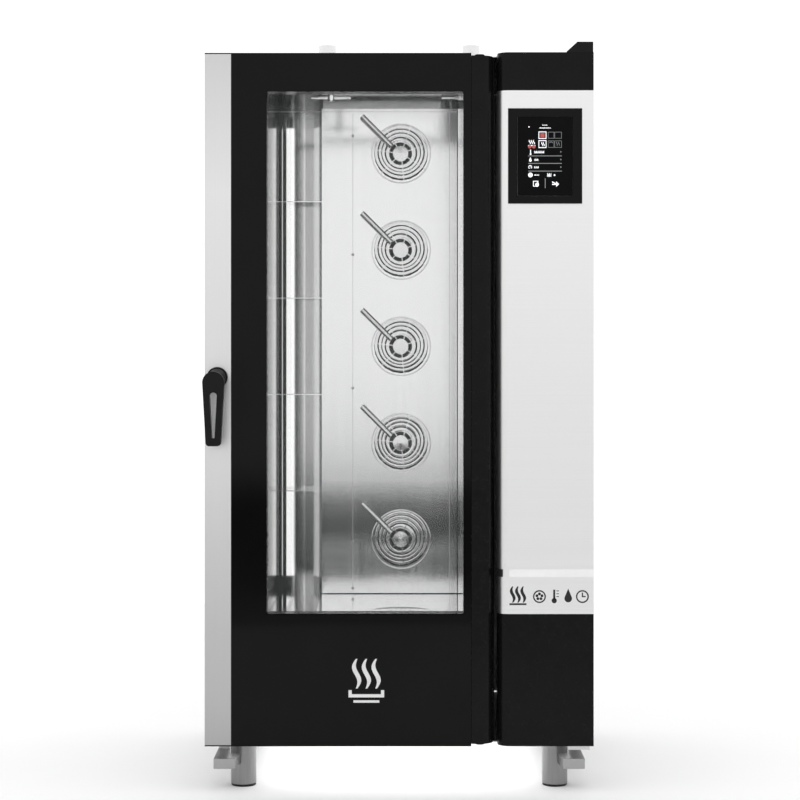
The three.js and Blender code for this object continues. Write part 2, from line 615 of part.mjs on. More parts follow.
// Drawn about the fan's own axis; the fan groups carry each copy to its height.
function fanGuard() {
  const back = BAFFLE.front - GAP;
  const rim = alongY(annulus(0, 0, GUARD.outer, GUARD.outer - GUARD.rim), GUARD.front, back, 10);
  const ring = alongY(annulus(0, 0, GUARD.ringOuter, GUARD.ringInner), GUARD.front, back, 8);
  const hub = rodY(0, 0, GUARD.front, back, GUARD.hub, 16);
  const spokes = Array.from({ length: GUARD.spokes }, (_, i) => {
    const angle = FIRST_SPOKE + (i * 2 * Math.PI) / GUARD.spokes;
    const along = new THREE.Vector2(Math.cos(angle), Math.sin(angle));
    const across = new THREE.Vector2(-along.y, along.x).multiplyScalar(GUARD.bar / 2);
    const corner = (radius, sign) =>
      [along.x * radius + sign * across.x, along.y * radius + sign * across.y];
    const [inner, outer] = [GUARD.hub - 3, GUARD.outer - 3];
    const outline = polygon([corner(inner, -1), corner(outer, -1), corner(outer, 1), corner(inner, 1)]);
    return alongY(outline, GUARD.front, back);
  });
  return join([rim, ring, hub, ...spokes]);
}

// Open at its upper end, closed at its tip, and carried by a feed from behind the fan wall.
function sprayTube() {
  const { endX, endZ, dx, dz, tipX, tipZ, y } = SPRAY;
  const { radius, bore, boreDepth } = SPRAY_TUBE;
  const arm = rod([endX, y, endZ], [tipX, y, tipZ], radius, 10);
  const feed = rod([dx, y, dz], [dx, MANIFOLD.y - MANIFOLD.radius - GAP, dz], radius, 10);
  const mouth = rod([endX - THROUGH, y, endZ + THROUGH], [endX + boreDepth, y, endZ - boreDepth], bore, 10);
  return arm.add(feed).subtract(mouth);
}

function impeller() {
  const { radius, front, back, blades, vane } = IMPELLER;
  const plate = rodY(0, 0, back, back + SHEET, radius, 16);
  const rim = alongY(annulus(0, 0, radius, radius - IMPELLER.rim), front, front + SHEET, 8);
  const hub = rodY(0, 0, back - IMPELLER.hubDepth, back + 1, IMPELLER.hub, 8);
  const shaft = rodY(0, 0, back - SHAFT.radius, SHAFT.end, SHAFT.radius, 8);
  const vanes = Array.from({ length: blades }, (_, i) => {
    const turn = new THREE.Matrix4().makeRotationY((i * 2 * Math.PI) / blades);
    const geometry = new THREE.BoxGeometry(vane, back - front + 1, SHEET);
    geometry.translate(radius - IMPELLER.hub, (back + front + 1) / 2, 0);
    geometry.applyMatrix4(turn);
    return solidOf(geometry);
  });
  return join([plate, rim, hub, shaft, ...vanes]);
}

function fanMotor() {
  const start = CAVITY.back + SHEET + MOTOR.seatGap;
  const flangeEnd = start + MOTOR.flangeDepth;
  const flange = rodY(0, 0, start, flangeEnd, MOTOR.flange, 14);
  const can = rodY(0, 0, flangeEnd - 1, MOTOR.back, MOTOR.can, 14);
  const { half, front, back, bottom, top } = TERMINAL_BOX;
  const terminals = block([-half, half], [front, back], [bottom, top]);
  const bore = rodY(0, 0, CAVITY.back, MOTOR.boreEnd, MOTOR.bore, 8);
  return join([flange, can, terminals]).subtract(bore);
}

function heatingElements() {
  const loops = fanHeights.map((z) => {
    const loop = new THREE.TorusGeometry(HEATER.radius, HEATER.tube, 5, 16);
    loop.rotateX(Math.PI / 2);
    loop.translate(FAN_X, HEATER.y, z);
    return solidOf(loop);
  });
  const legs = fanHeights.map((z) => rodY(heaterLegX, z, HEATER.y, HEATER.busY, HEATER.leg, 6));
  const busBar = rodZ(heaterLegX, HEATER.busY, fanHeights[FAN_COUNT - 1] - HEATER.busPastLoop,
    fanHeights[0] + HEATER.busPastLoop, HEATER.busRadius, 8);
  return join([...loops, ...legs, busBar]);
}

function waterManifold() {
  const { y, radius, inletZ, pastTop, nut: nutRadius, nutDepth } = MANIFOLD;
  const pipe = rodZ(sprayX, y, inletZ - radius, fanHeights[0] + SPRAY.dz + pastTop, radius, 10);
  const inlet = rodY(sprayX, inletZ, y, REAR_STUB, radius, 12);
  const nut = rodY(sprayX, inletZ, REAR + GAP, REAR + nutDepth, nutRadius, 6);
  return join([pipe, inlet, nut]);
}

fanPlaces.forEach((place, i) => {
  const number = i + 1;
  addPiece(place, `fan_guard_${number}`, fanGuard(), polishedSteel);
  addPiece(place, `injection_tube_${number}`, sprayTube(), polishedSteel);
  addPiece(place, `fan_impeller_${number}`, impeller(), sheetSteel);
  addPiece(place, `fan_motor_${number}`, fanMotor(), motorPaint);
});
addPiece(cabinet, 'heating_element_bank', heatingElements(), heaterSheath);
addPiece(cabinet, 'water_manifold', waterManifold(), sheetSteel);

// ---------------------------------------------------------------- door

function doorFrame() {
  const { left, right, back, bottom, top } = DOOR;
  const innerLeft = left + SKIN + GAP;
  const front = FRONT + GLASS.outer + GAP;
  const body = block([innerLeft, right], [front, back], [bottom, top]);
  const lips = [[bottom, bottom + CAP], [top - CAP, top]].flatMap((z) => [
    block([left, right], [FRONT, front + 1], z),
    block([left, innerLeft + 1], [FRONT, back], z),
  ]);
  const wall = SHEET;
  const glassPocketFront = INNER_GLASS_FRONT - GAP;
  const heights = [bottom + CAP, top - CAP];
  const reveal = block([WINDOW.left - REVEAL, WINDOW.right + REVEAL], [front - THROUGH, back + THROUGH],
    [WINDOW.bottom - REVEAL, WINDOW.top + REVEAL]);
  const hollow = block([innerLeft + wall, right - wall], [front + wall, glassPocketFront - wall], heights)
    .subtract(reveal);
  const glassPocket = block([INNER_GLASS.left - GAP, INNER_GLASS.right + GAP], [glassPocketFront, back + 1],
    [INNER_GLASS.bottom - GAP, INNER_GLASS.top + GAP]);
  const stileHollow = block([innerLeft + wall, INNER_GLASS.left - 2 * wall], [front + wall, back - wall],
    heights);
  const railHollow = block([innerLeft + wall, right - wall], [front + wall, back - wall],
    [bottom + CAP, INNER_GLASS.bottom - 2 * wall]);
  const window = block([WINDOW.left, WINDOW.right], [front - THROUGH, back + THROUGH],
    [WINDOW.bottom, WINDOW.top]);
  const spindleHole = rodY(HANDLE.x, HANDLE.z, front - THROUGH, front + wall + THROUGH, SPINDLE.hole, 12);
  const tongueSlots = LOCK.heights.map((z) =>
    block([LOCK.left + 4, LOCK.right + 4], [back - 2 * wall, back + THROUGH],
      [z - LOCK_BAR.halfSlot, z + LOCK_BAR.halfSlot]));
  const vents = [-300, -100, 100].map((x) =>
    block([x - 40, x + 40], [-350, -342], [bottom - THROUGH, bottom + CAP + THROUGH]));
  const hollows = [hollow, glassPocket, stileHollow, railHollow, window];
  return cut(join([body, ...lips]), [...hollows, spindleHole, ...tongueSlots, ...vents]);
}

function outerGlass() {
  return block([STRIP_RIGHT + 0.5, DOOR.right], [FRONT, FRONT + GLASS.outer], [PANE_BOTTOM, PANE_TOP]);
}

function innerGlass() {
  return block([INNER_GLASS.left, INNER_GLASS.right], [INNER_GLASS_FRONT, DOOR.back],
    [INNER_GLASS.bottom, INNER_GLASS.top]);
}

function edgeStrip() {
  const back = DOOR.back - SKIN;
  const lip = 4;
  const plan = polygon([
    [DOOR.left, FRONT],
    [STRIP_RIGHT, FRONT],
    [STRIP_RIGHT, FRONT + lip],
    [STRIP_RIGHT - SKIN, FRONT + lip],
    [STRIP_RIGHT - SKIN, FRONT + SKIN],
    [DOOR.left + SKIN, FRONT + SKIN],
    [DOOR.left + SKIN, back],
    [DOOR.left, back],
  ]);
  return alongZ(plan, PANE_BOTTOM, PANE_TOP)
    .subtract(rodY(HANDLE.x, HANDLE.z, FRONT - THROUGH, FRONT + THROUGH, SPINDLE.hole, 12));
}

function hingePost() {
  const start = DOOR.right + 0.5;
  const plan = (inset) => {
    const shape = new THREE.Shape();
    shape.moveTo(start + inset, HINGE.y - HINGE.radius + inset);
    shape.lineTo(HINGE.x, HINGE.y - HINGE.radius + inset);
    shape.absarc(HINGE.x, HINGE.y, HINGE.radius - inset, -Math.PI / 2, Math.PI / 2, false);
    shape.lineTo(start + inset, HINGE.y + HINGE.radius - inset);
    return shape;
  };
  const bottom = DOOR.bottom + BRACKET + 1;
  const top = DOOR.top - BRACKET - 1;
  const post = alongZ(plan(0), bottom, top, 7);
  const hollow = alongZ(plan(2.5), bottom + 12, top - 12, 5);
  const pinHoles = [[bottom - 1, bottom + 14], [top - 14, top + 1]].map(([z0, z1]) =>
    rodZ(HINGE.x, HINGE.y, z0, z1, HINGE.pinRadius + 0.5, 12));
  return cut(post, [hollow, ...pinHoles]);
}

// A plate with its pin, and a leaf that is screwed to the cabinet's front flange.
function hinge(isUpper) {
  const plate = isUpper ? [DOOR.top - BRACKET, DOOR.top] : [DOOR.bottom, DOOR.bottom + BRACKET];
  const { leafHeight } = HINGE;
  const leaf = isUpper ? [DOOR.top - leafHeight, DOOR.top] : [DOOR.bottom, DOOR.bottom + leafHeight];
  const width = [HINGE.x - HINGE.halfPlate, HINGE.x + HINGE.halfPlate];
  const leafBack = FLANGE_FRONT - GAP;
  const pinEnd = BRACKET + 12;
  const pin = isUpper ? [DOOR.top - pinEnd, DOOR.top - 1] : [DOOR.bottom + 1, DOOR.bottom + pinEnd];
  const arm = block(width, [HINGE.y, leafBack], plate);
  const eye = rodZ(HINGE.x, HINGE.y, ...plate, HINGE.halfPlate, 12);
  const foldedLeaf = block(width, [leafBack - HINGE.leaf, leafBack], leaf);
  return join([arm, eye, foldedLeaf, rodZ(HINGE.x, HINGE.y, ...pin, HINGE.pinRadius, 10)]);
}

function dripTray() {
  const back = DOOR.back + GAP;
  const { bottom, lipTop, leafTop, front: lip, sheet } = TRAY;
  const section = polygon([
    [back, bottom],
    [lip, bottom],
    [lip, lipTop],
    [lip - sheet, lipTop],
    [lip - sheet, bottom + sheet],
    [back + sheet, bottom + sheet],
    [back + sheet, leafTop],
    [back, leafTop],
  ]);
  return alongX(section, INNER_GLASS.left, INNER_GLASS.right);
}

function doorHandle() {
  const { x, z, radius, front, gripBack, headX, headZ } = HANDLE;
  const boss = rodY(x, z, FRONT - 10, FRONT - GAP, radius, 16);
  const neck = rod([x, FRONT - 8, z], [headX, gripBack - 2, headZ], 23, 14, 20);
  const { headRadius, bottom: gripBottom, halfFoot: foot, corner } = GRIP;
  const outline = new THREE.Shape();
  outline.absarc(headX, headZ, headRadius, 0, Math.PI, false);
  outline.lineTo(headX - foot, gripBottom + corner);
  outline.quadraticCurveTo(headX - foot, gripBottom, headX - foot + corner, gripBottom);
  outline.lineTo(headX + foot - corner, gripBottom);
  outline.quadraticCurveTo(headX + foot, gripBottom, headX + foot, gripBottom + corner);
  const slot = new THREE.Path();
  slot.absarc(headX, GRIP_SLOT.top, GRIP_SLOT.topRadius, Math.PI, 0, true);
  slot.absarc(headX, GRIP_SLOT.bottom, GRIP_SLOT.bottomRadius, 0, -Math.PI, true);
  outline.holes.push(slot);
  const grip = alongY(outline, front, gripBack, 6);
  const spindle = rodY(x, z, FRONT - 2, SPINDLE.end, SPINDLE.radius, 12);
  const crank = block([x - CRANK.length, x], [CRANK.front, CRANK.back], [z - CRANK.half, z + CRANK.half]);
  return join([boss, neck, grip, spindle, crank]);
}

function lockRod() {
  const { bottom, top, tongueEnd, halfTongue } = LOCK_BAR;
  const bar = block([LOCK.left, LOCK.right], [LOCK.front, LOCK.back], [bottom, top]);
  const tongues = LOCK.heights.map((z) => z + LOCK.rest).map((z) =>
    block([LOCK.left + 7, LOCK.right + 1], [LOCK.back - 2, tongueEnd], [z - halfTongue, z + halfTongue]));
  return join([bar, ...tongues]);
}

function lockStrike() {
  const back = FLANGE_FRONT - GAP;
  const front = DOOR.back + 1.3;
  const { left, right, bottom, top, halfKeeper, halfPocket } = STRIKE;
  const strip = block([left, right], [back - SKIN, back], [bottom, top]);
  const keepers = LOCK.heights.map((z) =>
    block([left + 2, right - 2], [front, back - 1], [z - halfKeeper, z + halfKeeper]));
  const pockets = LOCK.heights.map((z) =>
    block([left + 8, right - 6], [front - 1, back - SKIN], [z - halfPocket, z + halfPocket]));
  return cut(join([strip, ...keepers]), pockets);
}

addToDoor('door_frame', doorFrame(), blackEnamel);
addToDoor('door_outer_glass', outerGlass(), blackGlass);
addToDoor('door_inner_glass', innerGlass(), clearGlass);
addToDoor('door_edge_strip', edgeStrip(), brushedSteel);
addToDoor('door_hinge_post', hingePost(), blackEnamel);
addToDoor('door_drip_tray', dripTray(), sheetSteel);
addToDoor('door_handle', doorHandle(), blackPlastic);
addToDoor('lock_rod', lockRod(), sheetSteel);
addPiece(cabinet, 'upper_hinge', hinge(true), sheetSteel);
addPiece(cabinet, 'lower_hinge', hinge(false), sheetSteel);
addPiece(cabinet, 'lock_strike', lockStrike(), sheetSteel);

export default oven;
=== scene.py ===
# Combi steamer oven: the looks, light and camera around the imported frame.
import math

import bmesh
import bpy
from mathutils import Matrix, Vector


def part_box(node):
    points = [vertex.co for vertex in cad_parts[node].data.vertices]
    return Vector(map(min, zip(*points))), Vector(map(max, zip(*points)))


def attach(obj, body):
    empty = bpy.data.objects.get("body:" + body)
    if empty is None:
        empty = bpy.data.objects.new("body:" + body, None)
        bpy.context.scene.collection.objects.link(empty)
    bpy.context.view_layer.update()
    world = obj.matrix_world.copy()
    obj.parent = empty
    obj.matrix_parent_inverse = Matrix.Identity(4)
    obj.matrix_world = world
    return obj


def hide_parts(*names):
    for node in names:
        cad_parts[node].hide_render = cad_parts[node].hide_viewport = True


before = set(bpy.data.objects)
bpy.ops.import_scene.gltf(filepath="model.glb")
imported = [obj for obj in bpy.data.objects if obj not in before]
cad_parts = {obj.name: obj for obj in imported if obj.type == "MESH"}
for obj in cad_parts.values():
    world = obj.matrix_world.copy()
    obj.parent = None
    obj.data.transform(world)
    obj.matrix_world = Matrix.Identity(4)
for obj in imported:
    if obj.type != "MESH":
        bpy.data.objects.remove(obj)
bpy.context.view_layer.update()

MM = 0.001
FANS = range(1, 6)
SIDES = {"left": -1, "right": 1}
AXLE = 0.5 * MM  # a turned solid starts this far from its axis


# ---------------------------------------------------------------- materials

NOISE_ROUGHNESS = 0.55
NOISE_DARK, NOISE_LIGHT = 0.3, 0.7  # the part of the noise that the two tones span
BRUSH_DEPTH = 0.00003
ROUGHNESS_SPREAD = 0.06


def new_material(name, metallic=0.0, roughness=0.5, gloss=0.5, alpha=1.0):
    mat = bpy.data.materials.new(name)
    mat.use_nodes = True
    shader = mat.node_tree.nodes["Principled BSDF"]
    shader.inputs["Metallic"].default_value = metallic
    shader.inputs["Roughness"].default_value = roughness
    shader.inputs["Specular IOR Level"].default_value = gloss
    shader.inputs["Alpha"].default_value = alpha
    return mat, shader


def noise(mat, scale, detail=3.0):
    """Noise in the row frame, its scale given along X, Y and Z."""
    nodes, links = mat.node_tree.nodes, mat.node_tree.links
    where = nodes.new("ShaderNodeTexCoord")
    stretch = nodes.new("ShaderNodeMapping")
    stretch.inputs["Scale"].default_value = scale
    texture = nodes.new("ShaderNodeTexNoise")
    texture.inputs["Scale"].default_value = 1.0
    texture.inputs["Detail"].default_value = detail
    texture.inputs["Roughness"].default_value = NOISE_ROUGHNESS
    links.new(where.outputs["Object"], stretch.inputs["Vector"])
    links.new(stretch.outputs["Vector"], texture.inputs["Vector"])
    return texture.outputs["Fac"]


def ramp(owner, value, stops):
    """A colour ramp over a value; stops are (place, colour or grey)."""
    node = owner.node_tree.nodes.new("ShaderNodeValToRGB")
    points = node.color_ramp.elements
    while len(points) < len(stops):
        points.new(0.5)
    for point, (place, colour) in zip(points, stops):
        point.position = place
        grey = (colour,) * 3 if isinstance(colour, (int, float)) else colour
        point.color = (*grey, 1)
    owner.node_tree.links.new(value, node.inputs["Fac"])
    return node.outputs["Color"]


def mottled(mat, dark, light, scale, detail=3.0):
    """Two colours or greys, spread by noise."""
    return ramp(mat, noise(mat, scale, detail), [(NOISE_DARK, dark), (NOISE_LIGHT, light)])


def colour_by_noise(mat, shader, dark, light, scale, detail=3.0):
    colour = mottled(mat, dark, light, scale, detail)
    mat.node_tree.links.new(colour, shader.inputs["Base Color"])
    return colour


def bump(mat, shader, height, distance, strength):
    node = mat.node_tree.nodes.new("ShaderNodeBump")
    node.inputs["Distance"].default_value = distance
    node.inputs["Strength"].default_value = strength
    mat.node_tree.links.new(height, node.inputs["Height"])
    mat.node_tree.links.new(node.outputs["Normal"], shader.inputs["Normal"])


def vary_roughness(mat, shader, scale, low, high):
    mat.node_tree.links.new(mottled(mat, low, high, scale), shader.inputs["Roughness"])


def position(owner, axis, space="Object"):
    """A coordinate in the row frame or, for the world's Generated space, of the direction."""
    nodes = owner.node_tree.nodes
    where = nodes.new("ShaderNodeTexCoord")
    split = nodes.new("ShaderNodeSeparateXYZ")
    owner.node_tree.links.new(where.outputs[space], split.inputs["Vector"])
    return split.outputs[axis]


def share_of_way(owner, value, low, high):
    """0 at low, 1 at high and the share of the way between them."""
    span = owner.node_tree.nodes.new("ShaderNodeMapRange")
    span.inputs["From Min"].default_value = low
    span.inputs["From Max"].default_value = high
    owner.node_tree.links.new(value, span.inputs["Value"])
    return span.outputs["Result"]


def inside(mat, spans):
    """1 where every named axis lies in its span of the row frame, 0 elsewhere."""
    nodes, links = mat.node_tree.nodes, mat.node_tree.links
    total = None
    for axis, span in spans.items():
        place = position(mat, axis)
        for edge, operation in zip(span, ("GREATER_THAN", "LESS_THAN")):
            test = nodes.new("ShaderNodeMath")
            test.operation = operation
            links.new(place, test.inputs[0])
            test.inputs[1].default_value = edge
            if total is None:
                total = test.outputs[0]
                continue
            both = nodes.new("ShaderNodeMath")
            both.operation = "MULTIPLY"
            links.new(total, both.inputs[0])
            links.new(test.outputs[0], both.inputs[1])
            total = both.outputs[0]
    return total


def mixed(owner, factor, first, second, blend="MIX"):
    """Mixes two colours; the second may be a plain (r, g, b)."""
    node = owner.node_tree.nodes.new("ShaderNodeMix")
    node.data_type = "RGBA"
    node.blend_type = blend
    for value, name in ((factor, "Factor"), (first, "A"), (second, "B")):
        if isinstance(value, (int, float)):
            node.inputs[name].default_value = value
        elif isinstance(value, tuple):
            node.inputs[name].default_value = (*value, 1)
        else:
            owner.node_tree.links.new(value, node.inputs[name])
    return node.outputs["Result"]


def graded(mat, shader, colour, axis, span, stops):
    """Multiplies a colour by a ramp of greys along an axis, over a span in metres."""
    greys = ramp(mat, share_of_way(mat, position(mat, axis), *span), stops)
    result = mixed(mat, 1.0, colour, greys, "MULTIPLY")
    mat.node_tree.links.new(result, shader.inputs["Base Color"])
    return result


def brushed(name, tone, spread, grain, rough, shade=None):
    """Brushed steel: fine lines along the axis in which the grain's scale is small."""
    mat, shader = new_material(name, metallic=1.0)
    dark, light = [tone - spread] * 3, [tone + spread] * 3
    steel = colour_by_noise(mat, shader, dark, light, grain, 4.0)
    # A shade, when given, is painted light and shade: greys along an axis multiplied into the colour.
    if shade:
        graded(mat, shader, steel, *shade)
    vary_roughness(mat, shader, grain, *rough)
    bump(mat, shader, noise(mat, grain, 2.0), BRUSH_DEPTH, 0.25)
    return mat


def moulded(name, colour, lighter, rough, grain=900.0, depth=0.00004, gloss=0.35):
    """Paint, plastic or rubber with a fine even grain."""
    mat, shader = new_material(name, gloss=gloss)
    colour_by_noise(mat, shader, colour, lighter, (30, 30, 30))
    vary_roughness(mat, shader, (60, 60, 60), rough - ROUGHNESS_SPREAD, rough + ROUGHNESS_SPREAD)
    bump(mat, shader, noise(mat, (grain,) * 3, 2.0), depth, 0.3)
    return mat


def glowing(name, colour, strength):
    """A lit symbol on the screen."""
    mat, shader = new_material(name, roughness=0.3)
    colour_by_noise(mat, shader, [c * 0.9 for c in colour], colour, (300, 300, 300))
    shader.inputs["Emission Color"].default_value = (*colour, 1)
    shader.inputs["Emission Strength"].default_value = strength
    return mat


WINDOW = {"X": (-0.3275, 0.1595), "Z": (0.4431, 1.7339)}
WINDOW_TINT = 0.04  # how much of the window's print covers what is behind it


def printed_glass():
    """Black printed border round a clear window."""
    mat, shader = new_material("printed_glass", roughness=0.05, gloss=0.1)
    colour_by_noise(mat, shader, (0.0035, 0.0035, 0.0036), (0.0045, 0.0045, 0.0046), (6, 6, 6))
    cover = ramp(mat, inside(mat, WINDOW), [(0.0, 1.0), (1.0, WINDOW_TINT)])
    mat.node_tree.links.new(cover, shader.inputs["Alpha"])
    return mat


def clear_glass():
    mat, shader = new_material("clear_glass", roughness=0.03, alpha=0.05)
    colour_by_noise(mat, shader, (0.55, 0.6, 0.59), (0.6, 0.64, 0.63), (4, 4, 4))
    return mat


# The bright steel parts of the photo reflect a studio that is not modelled. These greys stand in
# for its darker parts, by place on the part; each stop is (share of the span, grey).
FAN_WALL_SPAN = (0.4, 0.84)
FAN_WALL_SHADE = [(0.0, 0.87), (0.155, 1.0), (0.307, 0.7), (0.44, 0.18), (0.5, 0.18), (0.61, 0.36),
                  (0.76, 1.0), (1.0, 1.0)]
CORNER_SPAN = (-0.336, -0.214)
CORNER_SHADE = [(0.0, 0.4), (0.035, 0.4), (0.06, 0.84), (0.3, 0.84), (0.34, 0.28), (0.38, 0.1),
                (0.47, 0.3), (0.52, 0.48), (0.565, 0.78), (0.6, 0.45), (0.77, 0.47), (0.8, 0.31),
                (0.885, 0.33), (0.93, 0.07), (0.985, 0.07), (1.0, 0.82)]
STRIP_SHADE = ("Z", (0.12, 1.83), [(0.0, 0.5), (0.2, 0.72), (0.42, 0.9), (0.8, 0.93), (1.0, 0.74)])

# Regions of the cavity liner: its inside, the space behind the fan wall, the flange by the post.
LINER_INSIDE = {"Y": (-0.29, 0.4), "Z": (0.415, 1.79)}
FAN_CHAMBER = {"X": (-0.208, 0.2), "Y": (0.243, 0.4), "Z": (0.3, 1.762)}
POST_FLANGE = {"X": (0.172, 0.3), "Y": (-0.4, 0.0)}
# Painted shade: a dark grey for the liner in the space behind the fan wall, seen through the guard slots.
PAINTED_CHAMBER_SHADE = (0.05, 0.046, 0.042)
FLANGE_BLACK = (0.004, 0.004, 0.004)


def baffle_steel():
    """Bright rolled steel of the fan wall: almost a mirror, with faint upright rolling marks."""
    mat, shader = new_material("baffle_steel", metallic=1.0)
    steel = colour_by_noise(mat, shader, (0.95, 0.95, 0.955), (0.97, 0.97, 0.975), (160, 3, 3), 4.0)
    # Painted reflection: darker greys along Z give the lower fan wall a dark band.
    graded(mat, shader, steel, "Z", FAN_WALL_SPAN, FAN_WALL_SHADE)
    vary_roughness(mat, shader, (60, 2, 2), 0.12, 0.15)
    return mat


def liner_steel():
    """Bright cavity steel with painted reflections in the rear left corner and painted shade behind the fan
    wall; black where the hinge post covers it.
    """
    mat, shader = new_material("liner_steel", metallic=1.0)
    bright = mottled(mat, 0.93, 1.0, (40, 40, 3), 4.0)
    # Painted reflections: upright greys along X over the rear left corner and its walls.
    corner = graded(mat, shader, bright, "X", CORNER_SPAN, CORNER_SHADE)
    flange = mottled(mat, 0.66, 0.7, (3, 3, 500), 4.0)
    colour = mixed(mat, inside(mat, LINER_INSIDE), flange, corner)
    # Painted shade darkens the liner behind the fan wall.
    colour = mixed(mat, inside(mat, FAN_CHAMBER), colour, PAINTED_CHAMBER_SHADE)
    colour = mixed(mat, inside(mat, POST_FLANGE), colour, FLANGE_BLACK)
    mat.node_tree.links.new(colour, shader.inputs["Base Color"])
    vary_roughness(mat, shader, (4, 4, 300), 0.08, 0.12)
    return mat


# ---------------------------------------------------------------- camera, floor and light

SENSOR_WIDTH = 36.0
LENS = 91.2
LENS_SHIFT = -0.06
CAMERA_PLACE = (0.002, -5.385, 1.09)
STUDIO_LIGHT = 1.15
# The studio's grey by the sine of the height above the horizon, over this span.
HORIZON_SPAN = (-0.3, 0.1)
FAR_FLOOR = [(0.2, 0.95), (0.37, 0.8), (0.43, 0.4), (0.465, 0.1), (0.5, 0.0), (0.57, 0.0),
             (0.592, 0.5), (0.615, 1.0), (0.64, 1.0)]
FLOOR_RADIUS = 3.5
# Each lamp's place, the point it faces, its size and its power: behind the window's top edge, in
# the cavity's left rear corner, and under the body.
LAMPS = {
    "header_lamp": ((-0.085, -0.296, 1.765), (-0.085, 0.5, 1.72), (0.44, 0.05), 0.07),
    "corner_lamp": ((-0.222, 0.276, 1.09), (-0.306, 0.32, 1.09), (0.07, 1.28), 0.36),
    "under_lamp": ((0, 0.03, 0.104), (0, 0.03, 0), (0.86, 0.74), 2.2),
}


def make_camera():
    data = bpy.data.cameras.new("camera")
    data.sensor_width = SENSOR_WIDTH
    data.lens = LENS
    data.shift_y = LENS_SHIFT
    camera = bpy.data.objects.new("camera", data)
    camera.location = CAMERA_PLACE
    camera.rotation_euler = (math.radians(90), 0, 0)
    bpy.context.scene.collection.objects.link(camera)
    bpy.context.scene.camera = camera


def area_light(name, place, target, size, power):
    data = bpy.data.lights.new(name, "AREA")
    data.shape = "RECTANGLE"
    data.size, data.size_y = size
    data.energy = power
    light = bpy.data.objects.new(name, data)
    light.location = place
    aim = Vector(target) - Vector(place)
    light.rotation_euler = aim.to_track_quat("-Z", "Y").to_euler()
    bpy.context.scene.collection.objects.link(light)


def make_world():
    """A white studio whose far floor is dark; the camera itself sees plain white."""
    world = bpy.data.worlds.new("studio")
    bpy.context.scene.world = world
    world.use_nodes = True
    background = world.node_tree.nodes["Background"]
    background.inputs["Strength"].default_value = STUDIO_LIGHT
    height = share_of_way(world, position(world, "Z", "Generated"), *HORIZON_SPAN)
    rays = world.node_tree.nodes.new("ShaderNodeLightPath")
    seen = mixed(world, rays.outputs["Is Camera Ray"], ramp(world, height, FAR_FLOOR), (1, 1, 1))
    world.node_tree.links.new(seen, background.inputs["Color"])


def make_floor():
    mesh = bpy.data.meshes.new("floor")
    bm = bmesh.new()
    bmesh.ops.create_circle(bm, cap_ends=True, radius=FLOOR_RADIUS, segments=96)
    bm.to_mesh(mesh)
    bm.free()
    floor = bpy.data.objects.new("floor", mesh)
    bpy.context.scene.collection.objects.link(floor)
    mat, shader = new_material("pale_floor", roughness=0.8)
    colour_by_noise(mat, shader, (0.93, 0.93, 0.93), (0.95, 0.95, 0.95), (1.5, 1.5, 1.5))
    mesh.materials.append(mat)


# ---------------------------------------------------------------- mesh tools

SHARP_ANGLE = 35.0
WELD_DISTANCE = 0.01 * MM
FLAT_ANGLE = 0.5


def mm(*points):
    """Pairs of millimetres, in metres."""
    return [(a * MM, b * MM) for a, b in points]


def middle(low, high):
    """The middle of a box, as x, y and z."""
    return [(a + b) / 2 for a, b in zip(low, high)]


def facing_front(x, y, z):
    """Places a turned profile with its heights running towards the front."""
    return Matrix.Translation((x, y, z)) @ Matrix.Rotation(math.radians(90), 4, "X")


def revolve(bm, profile, segments, matrix):
    """Turns a closed [radius, height] profile about the matrix's Z axis."""
    rings = []
    for i in range(segments):
        angle = 2 * math.pi * i / segments
        c, s = math.cos(angle), math.sin(angle)
        rings.append([bm.verts.new(matrix @ Vector((r * c, r * s, h))) for r, h in profile])
    count = len(profile)
    for i, ring in enumerate(rings):
        following = rings[(i + 1) % segments]
        for j in range(count):
            k = (j + 1) % count
            bm.faces.new((ring[j], following[j], following[k], ring[k]))


def cylinder(bm, start, end, radius, segments=24, end_radius=None, chamfer=0.0):
    """A closed cylinder or cone between two points, with a small chamfer at both ends."""
    start, end = Vector(start), Vector(end)
    length = (end - start).length
    top = radius if end_radius is None else end_radius
    turn = (end - start).to_track_quat("Z", "Y").to_matrix().to_4x4()
    matrix = Matrix.Translation(start) @ turn
    levels = [(radius - chamfer, 0), (radius, chamfer), (top, length - chamfer), (top - chamfer, length)]
    if chamfer == 0:
        levels = [(radius, 0), (top, length)]
    rings = [[bm.verts.new(matrix @ Vector((r * math.cos(a), r * math.sin(a), h)))
              for a in (2 * math.pi * i / segments for i in range(segments))] for r, h in levels]
    bm.faces.new(list(reversed(rings[0])))
    bm.faces.new(rings[-1])
    for lower, upper in zip(rings, rings[1:]):
        skirt(bm, lower, upper)


def skirt(bm, first, second):
    """Faces between two loops of the same length."""
    for i in range(len(first)):
        j = (i + 1) % len(first)
        bm.faces.new((first[i], first[j], second[j], second[i]))


def box(bm, low, high):
    low, high = Vector(low), Vector(high)
    made = bmesh.ops.create_cube(bm, size=1.0)["verts"]
    bmesh.ops.scale(bm, vec=high - low, verts=made)
    bmesh.ops.translate(bm, vec=(low + high) / 2, verts=made)


def prism(bm, near, far):
    """A solid between two loops of the same length, given as points."""
    near, far = ([bm.verts.new(point) for point in loop] for loop in (near, far))
    bm.faces.new(list(reversed(near)))
    bm.faces.new(far)
    skirt(bm, near, far)


def plate(bm, outline, front, back):
    """A closed outline of (x, z) points, thickened from y = front to y = back."""
    prism(bm, [(x, front, z) for x, z in outline], [(x, back, z) for x, z in outline])


def slab(bm, outline, bottom, top):
    """A closed outline of (x, y) points, thickened from z = bottom to z = top."""
    prism(bm, [(x, y, bottom) for x, y in outline], [(x, y, top) for x, y in outline])


